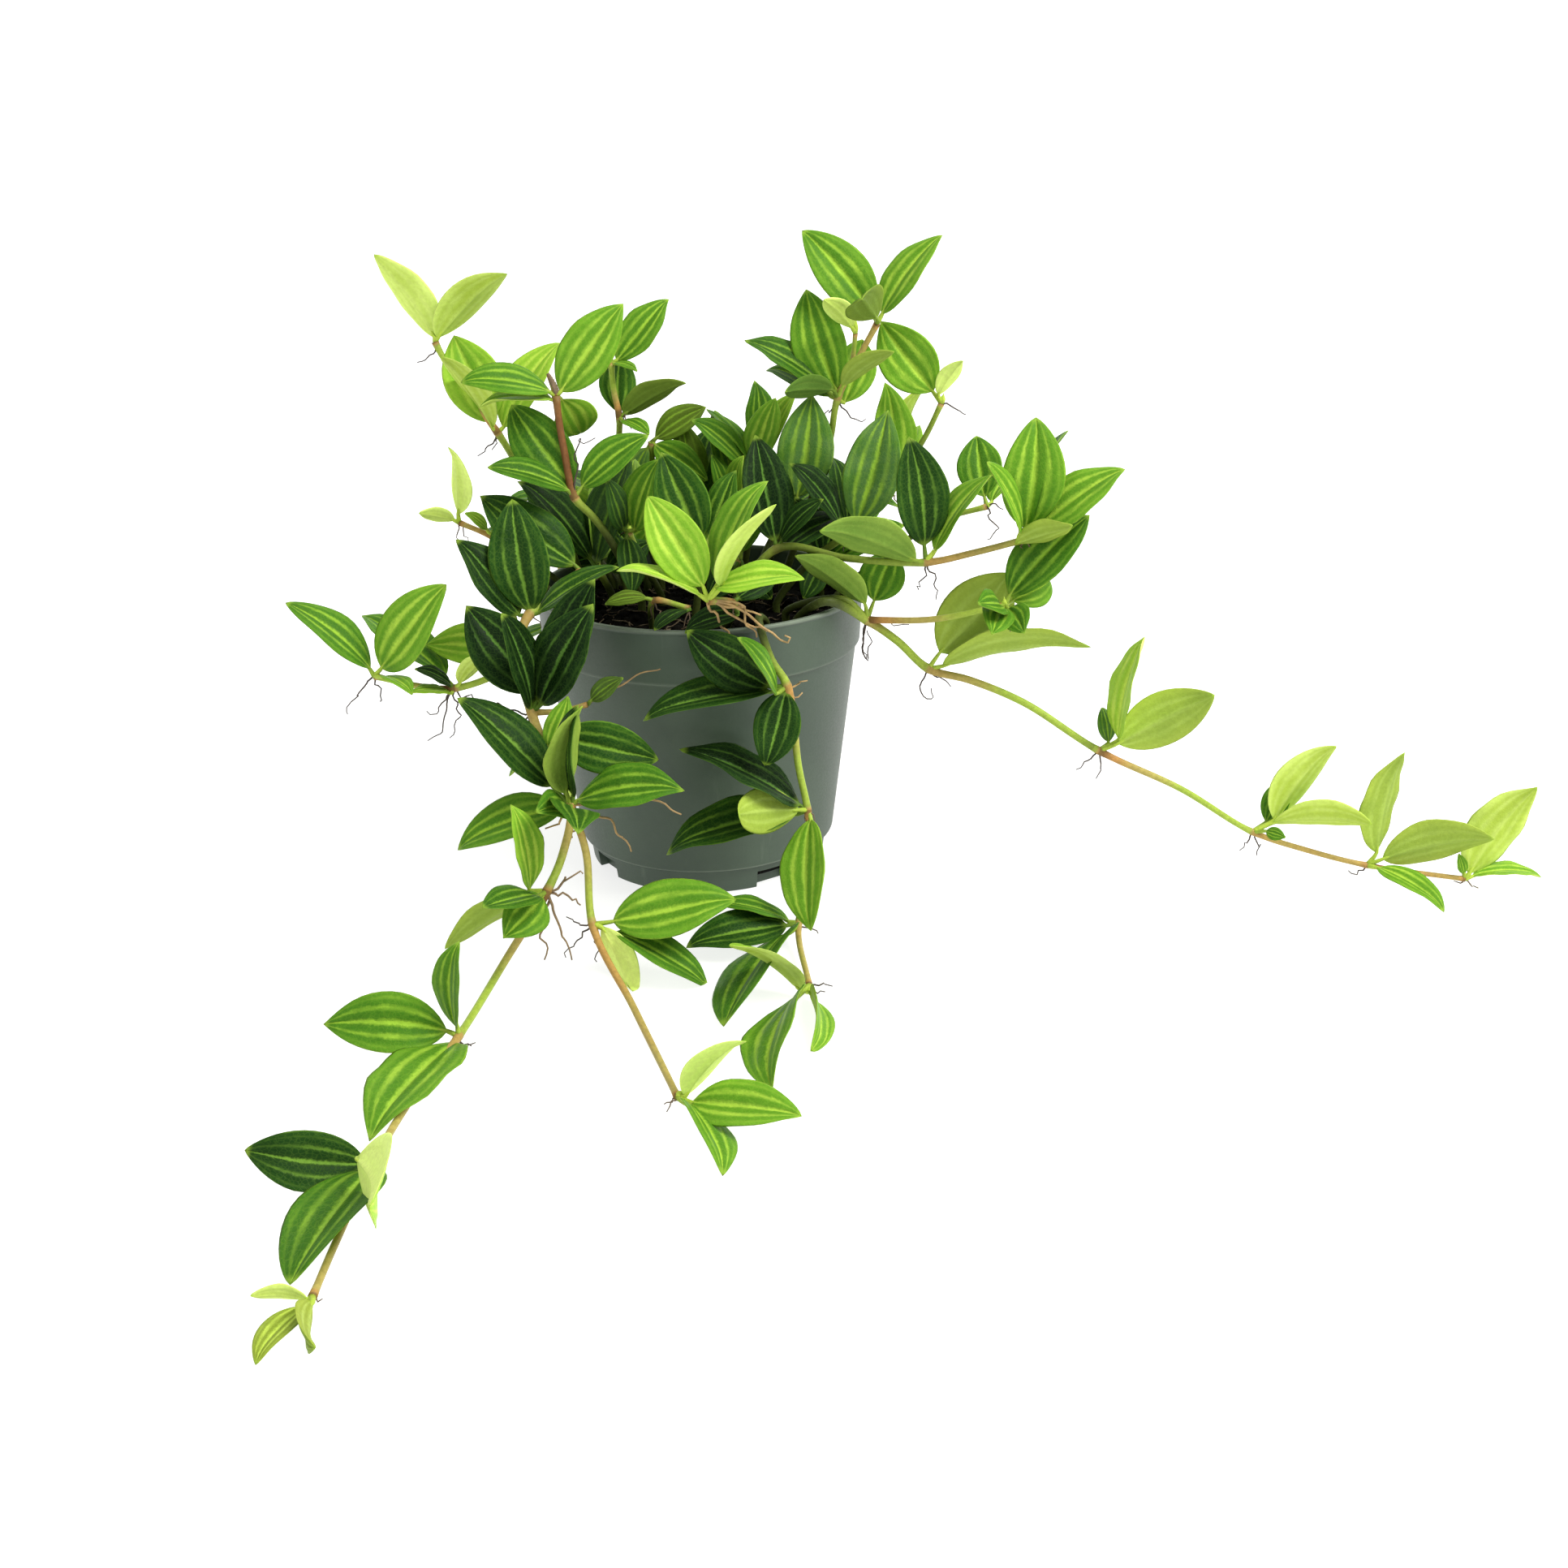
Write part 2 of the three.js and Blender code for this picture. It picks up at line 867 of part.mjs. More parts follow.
// A closed round bar along a smooth curve through the given places, tapering from the first to the last. It
// has more rings where the curve bends.
function bar(places, radius, sides, endRadius = radius) {
  const curve = new THREE.CatmullRomCurve3(places, false, 'centripetal');
  const spots = [places[0]];
  for (let i = 1; i < places.length; i += 1) {
    const middle = curve.getPoint((i - 0.5) / (places.length - 1));
    const sag = middle.distanceTo(places[i].clone().lerp(places[i - 1], 0.5));
    const parts = Math.max(1, Math.ceil(Math.sqrt(sag / ringSag)));
    for (let part = 1; part <= parts; part += 1) {
      spots.push(curve.getPoint((i - 1 + part / parts) / (places.length - 1)));
    }
  }
  const points = [];
  let aside = new THREE.Vector3(0.31, 0.22, 0.12);
  spots.forEach((spot, i) => {
    const along = spots[Math.min(i + 1, spots.length - 1)].clone().sub(spots[Math.max(i - 1, 0)]).normalize();
    aside = aside.addScaledVector(along, -aside.dot(along)).normalize();
    const third = new THREE.Vector3().crossVectors(along, aside);
    const size = THREE.MathUtils.lerp(radius, endRadius, i / (spots.length - 1));
    for (let side = 0; side < sides; side += 1) {
      const angle = (side / sides) * Math.PI * 2;
      const point = spot.clone().addScaledVector(aside, size * Math.cos(angle));
      point.addScaledVector(third, size * Math.sin(angle));
      points.push(...point.toArray());
    }
  });
  const triangles = [];
  for (let i = 0; i < spots.length - 1; i += 1) {
    for (let side = 0; side < sides; side += 1) {
      const a = i * sides + side;
      const b = i * sides + ((side + 1) % sides);
      triangles.push(a, b, b + sides, a, b + sides, a + sides);
    }
  }
  const end = (spots.length - 1) * sides;
  for (let side = 1; side < sides - 1; side += 1) {
    triangles.push(0, side + 1, side, end, end + side, end + side + 1);
  }
  return solidOf(points, triangles);
}

// Share of the full half width at a share of the blade's length: pointed at both ends
const bladeOutline = (share) =>
  Math.pow(4 * share * (1 - share), 0.72 + 0.35 * share * share) * (1.14 - 0.26 * share);

// Triangles that fill the strip between two rows of points, split outward from the middle of a blade
function strip(near, far) {
  const square = [[near[0], near[1], far[1]], [near[0], far[1], far[0]]];
  if (near.length === 2 && far.length === 2) return square;
  if (near.length === 2) return [...square, [near[1], far[2], far[1]]];
  if (far.length === 1) return [[near[0], near[1], far[0]], [near[1], near[2], far[0]]];
  return [
    [near[0], near[1], far[0]],
    [near[1], far[1], far[0]],
    [near[1], near[2], far[2]],
    [near[1], far[2], far[1]],
  ];
}

// A leaf from its joint to its tip, grown on all sides by swell. The blade is arched and folded along its
// midrib, and both faces are split into triangles alike.
function leafSolid(leaf, swell) {
  const axis = leaf.tip.clone().sub(leaf.base);
  const long = axis.length();
  axis.normalize();
  const across = new THREE.Vector3().crossVectors(axis, leaf.normal);
  const stalk = { half: petioleWidth / 2, thick: petioleThickness, fold: 0, columns: [-1, 1] };
  const rows = [{ centre: leaf.joint, ...stalk }];
  if (leaf.joint.distanceTo(leaf.base) > shortPetiole) rows.push({ centre: leaf.base, ...stalk });
  for (const share of long < smallLeaf ? [0.28, 0.68] : [0.2, 0.5, 0.8]) {
    const rise = archShare * long * 4 * share * (1 - share);
    const centre = leaf.base.clone().addScaledVector(axis, share * long).addScaledVector(leaf.normal, rise);
    const half = (leaf.width / 2) * bladeOutline(share);
    rows.push({ centre, half, thick: bladeThickness, fold: foldShare, columns: [-1, 0, 1] });
  }
  const tip = leaf.tip.clone().addScaledVector(axis, swell);
  rows.push({ centre: tip, half: 0, thick: bladeThickness, fold: 0, columns: [0] });
  const points = [];
  // Every point of the upper face has an even number, and the one below it on the lower face comes next
  const numbered = rows.map(({ centre, half, thick, fold, columns }) =>
    columns.map((column) => {
      const out = half + swell;
      const middle = centre.clone().addScaledVector(across, column * out);
      middle.addScaledVector(leaf.normal, fold * out * Math.abs(column));
      const rise = thick / 2 + swell;
      const floor = lowestLeaf - swell;
      const upper = middle.clone().addScaledVector(leaf.normal, rise);
      const lower = middle.addScaledVector(leaf.normal, -rise);
      const number = points.length / 3;
      points.push(upper.x, upper.y, Math.max(upper.z, floor + 2 * rise));
      points.push(lower.x, lower.y, Math.max(lower.z, floor));
      return number;
    }),
  );
  const triangles = [];
  const wallBetween = (a, b) => triangles.push(a, b, b + 1, a, b + 1, a + 1);
  numbered.slice(1).forEach((far, i) => {
    const near = numbered[i];
    for (const [a, b, c] of strip(near, far)) triangles.push(a, b, c, a + 1, c + 1, b + 1);
    wallBetween(near[0], far[0]);
    wallBetween(far.at(-1), near.at(-1));
  });
  wallBetween(numbered[0][1], numbered[0][0]);
  return solidOf(points, triangles);
}

// ---- Leaves and roots from the table ----

// The blade is as wide as its length asks. Where it looks narrower than that, it is rolled about its length
// until it looks right, with its upper side towards the sky.
function seenLeaf(joint, row, swing) {
  const [baseX, baseY, tipX, tipY, seenWidth, side, reach] = row;
  const lies = reach.height !== undefined;
  const tip = lies
    ? low(tipX, tipY, reach.height + Math.abs(swing))
    : seen(tipX, tipY, joint.y - reach - swing);
  const jointSpot = spotOf(joint);
  const stalkSeen = Math.hypot(baseX - jointSpot.x, baseY - jointSpot.y);
  const share = stalkSeen / (stalkSeen + Math.hypot(tipX - baseX, tipY - baseY));
  const base = seen(baseX, baseY, joint.y + (tip.y - joint.y) * share);
  base.z = Math.max(base.z, lowestLeaf + petioleThickness);
  const axis = tip.clone().sub(base);
  const long = axis.length();
  axis.normalize();
  const view = sight.eye.clone().sub(base).addScaledVector(axis, -long / 2);
  const shown = seenWidth * (view.length() / sight.focal);
  const width = Math.max(bladeRatio * long, shown);
  const roll = Math.acos(shown / width);
  const facing = view.addScaledVector(axis, -view.dot(axis)).normalize();
  const aside = new THREE.Vector3().crossVectors(axis, facing);
  const turns = [1, -1].map((sign) => {
    const normal = facing.clone().multiplyScalar(Math.cos(roll));
    return normal.addScaledVector(aside, sign * Math.sin(roll)).multiplyScalar(side);
  });
  const normal = turns[0].z > turns[1].z ? turns[0] : turns[1];
  return { joint, base, tip, width, normal };
}

function spotOf(point) {
  const line = point.clone().sub(sight.eye);
  const scale = sight.focal / line.dot(sight.forward);
  return { x: sight.middle + line.dot(sight.right) * scale, y: sight.middle - line.dot(sight.up) * scale };
}

function rootPlaces(joint, spots, swing) {
  const places = spots.map(([x, y], i) => seen(x, y, joint.y - (swing * (i + 1)) / spots.length));
  for (const point of places) point.z = Math.max(point.z, lowestLeaf + 2 * rootRadius);
  return [joint, ...places];
}

// ---- Stems at the back ----

function spoke(angle, radius, z) {
  const turn = THREE.MathUtils.degToRad(angle);
  return at(radius * Math.cos(turn), radius * Math.sin(turn), z);
}

// Leaves spread round a joint: the first one points along the stem and the others fan out from it
function fanLeaves(joint, heading, count, length) {
  const leaves = [];
  for (let i = 0; i < count; i += 1) {
    const turn = ((i + 0.5) / count - 0.5) * fanAngle;
    leaves.push((swing) => {
      const direction = heading.clone().applyAxisAngle(at(0, 0, 1), turn);
      direction.z += 0.15 + swing * 0.035;
      direction.normalize();
      const base = joint.clone().addScaledVector(direction, 4);
      const tip = joint.clone().addScaledVector(direction, length + 4);
      const across = new THREE.Vector3().crossVectors(direction, at(0, 0, 1)).normalize();
      const normal = new THREE.Vector3().crossVectors(across, direction);
      return { joint, base, tip, width: bladeRatio * length, normal };
    });
  }
  return leaves;
}

function backSprays() {
  const built = [];
  backTrails.angles.forEach((angle, i) => {
    const drop = backTrails.drops[i];
    const start = spoke(angle, backTrails.soilRadius, 0);
    const rimJoint = spoke(angle, rimRadius + 4, potHeight + 7);
    const overRim = spoke(angle + 2, rimRadius + 11, potHeight);
    const middle = spoke(angle + 4, rimRadius + 12, potHeight - drop * 0.4);
    const end = spoke(angle + 8, rimRadius + 9, potHeight - drop);
    const outward = spoke(angle, 1, 0);
    built.push({
      name: `stem_back_trail_${i + 1}`,
      bars: [{ ...backStem, places: [soil(start.x, start.y), rimJoint, overRim, middle, end] }],
      whorls: [
        { joint: rimJoint, leaves: fanLeaves(rimJoint, outward, 3, backLeafLength * 0.85) },
        { joint: middle, leaves: fanLeaves(middle, outward.clone().setZ(-0.7), 2, backLeafLength * 0.8) },
        { joint: end, leaves: fanLeaves(end, outward.clone().setZ(-1.1), 2, backLeafLength * 0.7) },
      ],
    });
  });
  backUprights.angles.forEach((angle, i) => {
    const start = spoke(angle, backUprights.soilRadius, 0);
    const crown = spoke(angle, backUprights.soilRadius + 14, soilTop + backUprights.heights[i]);
    const outward = spoke(angle, 1, 0);
    built.push({
      name: `stem_back_upright_${i + 1}`,
      bars: [{ ...backStem, places: [soil(start.x, start.y), crown] }],
      whorls: [{ joint: crown, leaves: fanLeaves(crown, outward, 3, backLeafLength) }],
    });
  });
  return built;
}

// ---- Sprays read from the table, as bars and whorls in real places ----

function frontSprays() {
  return Object.entries(sprays).map(([name, spray]) => {
    const joints = {};
    for (const [key, whorl] of Object.entries(spray.whorls)) joints[key] = place(whorl.eye);
    const bars = spray.shoots.map(([thick, thickEnd, ...spots]) => ({
      thick,
      thickEnd,
      places: spots.map((spot) => (typeof spot === 'string' ? joints[spot] : place(spot))),
      inSoil: spots[0].inSoil === true,
    }));
    const whorls = Object.entries(spray.whorls).map(([key, whorl]) => ({
      joint: joints[key],
      leaves: whorl.leaves.map((row) => (swing) => seenLeaf(joints[key], row, swing)),
      roots: (whorl.roots ?? []).map((spots) => (swing) => rootPlaces(joints[key], spots, swing)),
    }));
    return { name, bars, whorls };
  });
}

// A stem that leaves the soil stands upright in its hole, then bends
function stemSolid({ thick, thickEnd, places, inSoil }) {
  if (!inSoil) return bar(places, thick / 2, stemSides, thickEnd / 2);
  const [start, ...rest] = places;
  const foot = start.clone().setZ(start.z - stemDepthInSoil);
  const bend = start.clone().setZ(start.z + stemRiseFromSoil);
  return bar([foot, start, bend, ...rest], thick / 2, stemSides, thickEnd / 2);
}

function boxesMeet(a, b) {
  return [0, 1, 2].every((axis) => a.min[axis] <= b.max[axis] && b.min[axis] <= a.max[axis]);
}

function meets(solid, box, other) {
  if (!boxesMeet(box, other.box)) return false;
  const shared = solid.intersect(other.solid);
  const volume = shared.volume();
  shared.delete();
  return volume > 1e-5;
}

// Bends a leaf or root by the smallest swing that leaves it clear. Of what grows from the same joint, only
// the outer part of the blade has to stay clear. Past that it may be fused to its own spray, not another.
function bentClear(make, guardOf, outerGuardOf, joint, sprayName) {
  for (const mayFuse of [false, true]) {
    for (const swing of swings) {
      const shape = make(swing);
      const guard = guardOf(shape);
      const outerGuard = outerGuardOf(shape);
      const [box, outerBox] = [guard.boundingBox(), outerGuard.boundingBox()];
      const blocked = pieces.some((other) => {
        if (mayFuse && other.sprayName === sprayName) return false;
        if (!other.owners.includes(joint)) return meets(guard, box, other);
        return other.isLeaf && meets(outerGuard, outerBox, other);
      });
      guard.delete();
      outerGuard.delete();
      if (!blocked) return shape;
    }
  }
  throw new Error(`Nothing on ${sprayName} is clear at one of its joints`);
}

// The outer part of a leaf's blade, as a leaf of its own
function outerBlade(leaf) {
  const start = leaf.base.clone().lerp(leaf.tip, outerShare);
  return { ...leaf, joint: start, base: start };
}

// ---- Pot and soil ----

// The inside of the pot, from the floor up, drawn in by the given gap
function innerProfile(gap, topHeight) {
  const slope = (bodyTopRadius - bodyBaseRadius) / (rimBandBase - footHeight);
  const bodyRadius = (height) => bodyBaseRadius + slope * (height - footHeight) - wall - gap;
  const floorHeight = floorThickness + gap;
  const shoulder = footHeight + wall;
  const bandInside = rimBandRadius - wall - gap;
  return [
    new THREE.Vector2(footTopRadius - 2.2 * wall - gap, floorHeight),
    new THREE.Vector2(bodyRadius(shoulder), shoulder),
    new THREE.Vector2(bodyRadius(rimBandBase - 1), rimBandBase - 1),
    new THREE.Vector2(bandInside, rimBandBase + 2),
    new THREE.Vector2(bandInside + (topHeight - rimBandBase) * 0.06, topHeight),
  ];
}

function lathe(profile) {
  const turned = new THREE.LatheGeometry(profile, potSides);
  turned.rotateX(Math.PI / 2);
  return turned;
}

function potSolid() {
  const outside = [
    [0, 0],
    [footRadius, 0],
    [footTopRadius, footHeight],
    [bodyBaseRadius, footHeight],
    [bodyTopRadius, rimBandBase],
    [rimBandRadius, rimBandBase],
    [rimRadius - 0.5, potHeight - 1.6],
    [rimRadius, potHeight - 1],
    [rimRadius, potHeight],
  ].map(([radius, height]) => new THREE.Vector2(radius, height));
  const inside = innerProfile(0, potHeight).toReversed();
  let pot = toSolid(lathe([...outside, ...inside, new THREE.Vector2(0, floorThickness)]));
  for (let i = 0; i < notch.count; i += 1) {
    const slot = new THREE.BoxGeometry(notch.depth * 2, notch.width, notch.height * 2);
    slot.translate(footTopRadius + 0.4, 0, 0);
    slot.rotateZ(THREE.MathUtils.degToRad(notch.firstAngle + (360 / notch.count) * i));
    pot = pot.subtract(toSolid(slot));
  }
  return pot;
}

// Soil fills the pot. Its top is uneven, and each stem stands in a plain hole.
function soilSolid(stemFeet) {
  const side = innerProfile(soilGap, soilTop).filter((point) => point.y < rimBandBase || point.y === soilTop);
  const edge = side.at(-1).x;
  const rings = [0.7, 0.35].map((share) => new THREE.Vector2(edge * share, soilTop));
  const bottom = new THREE.Vector2(0, side[0].y);
  const body = lathe([bottom, ...side, ...rings, new THREE.Vector2(0, soilTop)]);
  const points = body.attributes.position;
  for (let i = 0; i < points.count; i += 1) {
    if (points.getZ(i) > soilTop - 0.01) points.setZ(i, soilHeight(points.getX(i), points.getY(i)));
  }
  let filling = toSolid(body);
  for (const { spot, radius } of stemFeet) {
    const bottomOfHole = spot.clone().setZ(spot.z - stemDepthInSoil - soilGap);
    const topOfHole = spot.clone().setZ(soilTop + 10);
    filling = filling.subtract(bar([bottomOfHole, topOfHole], radius + holeGap, 4));
  }
  return filling;
}

// ---- Assembly ----

const allSprays = [...frontSprays(), ...backSprays()];
const pieces = [];
function keep(solid, sprayName, owners, isLeaf = false) {
  pieces.push({ solid, box: solid.boundingBox(), sprayName, owners, isLeaf });
}

const feet = allSprays.flatMap(({ bars }) =>
  bars.filter((stem) => stem.inSoil).map((stem) => ({ spot: stem.places[0], radius: stem.thick / 2 })),
);
const potBody = potSolid();
const soilBody = soilSolid(feet);
keep(potBody, 'pot', []);
keep(soilBody, 'soil', []);
for (const { name, bars } of allSprays) {
  for (const stem of bars) keep(stemSolid(stem), name, stem.places);
}
for (const { name, whorls } of allSprays) {
  for (const { joint, leaves } of whorls) {
    for (const make of leaves) {
      const guardOf = (leaf) => leafSolid(leaf, clearance);
      const outerGuardOf = (leaf) => leafSolid(outerBlade(leaf), 0);
      const leaf = bentClear(make, guardOf, outerGuardOf, joint, name);
      keep(leafSolid(leaf, 0), name, [joint], true);
    }
  }
}
for (const { name, whorls } of allSprays) {
  for (const { joint, roots } of whorls) {
    for (const make of roots ?? []) {
      const guardOf = (places) => bar(places, rootRadius + clearance, 3);
      const places = bentClear(make, guardOf, guardOf, joint, name);
      keep(bar(places, rootRadius, 3), name, [joint]);
    }
  }
}

const plant = new THREE.Group();
plant.add(toMesh('pot', potBody, 0x3d4a48, 0.55));
plant.add(toMesh('soil', soilBody, 0x2b211b, 1));
for (const { name } of allSprays) {
  const parts = pieces.filter((piece) => piece.sprayName === name).map((piece) => piece.solid);
  plant.add(toMesh(name, joined(parts), 0x3f8a2c, 0.45));
}

export default plant;
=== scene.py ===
import math
import bpy
import bmesh
import numpy as np
from mathutils import Matrix


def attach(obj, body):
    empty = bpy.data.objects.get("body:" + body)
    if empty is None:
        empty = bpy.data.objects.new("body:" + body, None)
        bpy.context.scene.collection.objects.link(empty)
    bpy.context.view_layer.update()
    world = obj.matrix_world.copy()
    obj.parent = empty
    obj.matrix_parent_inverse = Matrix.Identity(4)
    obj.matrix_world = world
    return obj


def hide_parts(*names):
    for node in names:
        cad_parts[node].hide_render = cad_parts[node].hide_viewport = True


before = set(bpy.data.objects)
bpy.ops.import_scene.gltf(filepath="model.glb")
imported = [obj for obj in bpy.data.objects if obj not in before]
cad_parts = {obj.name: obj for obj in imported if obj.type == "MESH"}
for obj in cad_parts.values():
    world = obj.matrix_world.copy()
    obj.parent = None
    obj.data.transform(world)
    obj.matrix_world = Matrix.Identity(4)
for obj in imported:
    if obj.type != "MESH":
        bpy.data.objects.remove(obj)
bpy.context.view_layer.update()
mm = 0.001  # everything below is worked out in millimetres and turned into metres in makeMesh
rng = np.random.default_rng(11)

# The view that the picture points of the plant belong to
sight = {
    "focal": 2100,  # in picture points
    "middle": 966,
    "frameWidth": 1932,
    "pitch": math.radians(22.1),
    "roll": math.radians(-0.83),
    "distance": 590,
    "target": np.array([26.7, 0, 22.1]),
    "sensorWidth": 36,
}
sightForward = np.array([0, math.cos(sight["pitch"]), -math.sin(sight["pitch"])])
levelRight = np.array([1.0, 0, 0])
levelUp = np.cross(levelRight, sightForward)
sightRight = math.cos(sight["roll"]) * levelRight + math.sin(sight["roll"]) * levelUp
sightUp = math.cos(sight["roll"]) * levelUp - math.sin(sight["roll"]) * levelRight
sightEye = sight["target"] - sight["distance"] * sightForward


def unit(vector):
    return vector / np.linalg.norm(vector)


def sightLine(x, y):
    right = (x - sight["middle"]) / sight["focal"]
    up = (sight["middle"] - y) / sight["focal"]
    return sightForward + right * sightRight + up * sightUp


def seen(x, y, depth):  # the real place of a picture point that lies at a known depth behind the pot's middle
    line = sightLine(x, y)
    return sightEye + line * (depth - sightEye[1]) / line[1]


def low(x, y, height):  # the same for a known height above the surface
    line = sightLine(x, y)
    return sightEye + line * (height - sightEye[2]) / line[2]


def spotOf(point):  # where a real place is seen in the picture
    line = point - sightEye
    scale = sight["focal"] / (line @ sightForward)
    return sight["middle"] + np.array([line @ sightRight, -(line @ sightUp)]) * scale


# Sizes shared with the solids
potSizes = {
    "rimRadius": 54, "height": 94, "bandBase": 76, "bandRadius": 52.7, "bodyTop": 51.6, "bodyBase": 43.4,
    "footHeight": 9, "footTop": 41.2, "footRadius": 40, "wall": 1.5, "floor": 3, "bandFlare": 0.06,
    "sides": 160, "notchCount": 4, "notchAngle": -56, "notchWidth": 12, "notchHeight": 6, "notchDepth": 5,
}
soilSizes = {"top": 85.5, "relief": 1.1, "depthOfStem": 8, "riseOfStem": 3, "gap": 0.3}
leafSizes = {
    "thick": 0.8, "widthShare": 0.5, "arch": 0.06, "fold": 0.24, "lowest": 0.4, "stalkThick": 1.3,
    "swings": [0, 2, -2, 4, -4, 6, -6, 9, -9, 12, -12, 16, -16, 20, -20],
}


def at(x, y, z):
    return np.array([x, y, z], float)


def spoke(angle, radius, z):  # a place given by its angle and distance about the pot's middle
    turn = math.radians(angle)
    return at(radius * math.cos(turn), radius * math.sin(turn), z)


def soilHeight(x, y):
    waves = np.sin(x * 0.23 + y * 0.11) + np.cos(y * 0.27 - x * 0.07) + np.sin((x + y) * 0.41)
    return soilSizes["top"] + waves * soilSizes["relief"] / 2


def soil(x, y):  # where a stem leaves the soil
    return ("soil", at(x, y, float(soilHeight(x, y))))


def high(height):
    return ("high", height)


top = 1
under = -1

# Age from 0, old and dark, to 1, just opened; share of a painted bluish sheen; how olive it is
leafTones = {
    "dark": (0.0, 0.05, 0.0), "dim": (0.1, 0.05, 0.0), "deep": (0.2, 0.05, 0.0), "green": (0.32, 0.02, 0.0),
    "mid": (0.42, 0.02, 0.0), "fresh": (0.54, 0.0, 0.0), "bright": (0.66, 0.0, 0.0), "light": (0.75, 0, 0),
    "glow": (0.83, 0.0, 0.0), "young": (0.88, 0.0, 0.05), "milky": (1.0, 0.0, 0.05), "straw": (0.82, 0, 0.15),
    "fawn": (0.93, 0.0, 0.35), "tawny": (0.9, 0.0, 1.2), "dun": (0.75, 0.0, 1.0), "pale": (0.62, 0.0, 0.4),
    # misty, blue and grey leaves carry a painted sheen; ashen leaves carry it too and are painted lighter to
    # stand in for light where they sit in shade
    "olive": (0.34, 0.0, 0.6), "sage": (0.42, 0.1, 0.0), "blue": (0.15, 0.35, 0.0), "misty": (0.5, 0.75, 0),
    "grey": (0.25, 0.35, 0.4), "ashen": (0.85, 0.6, 0.0),
}

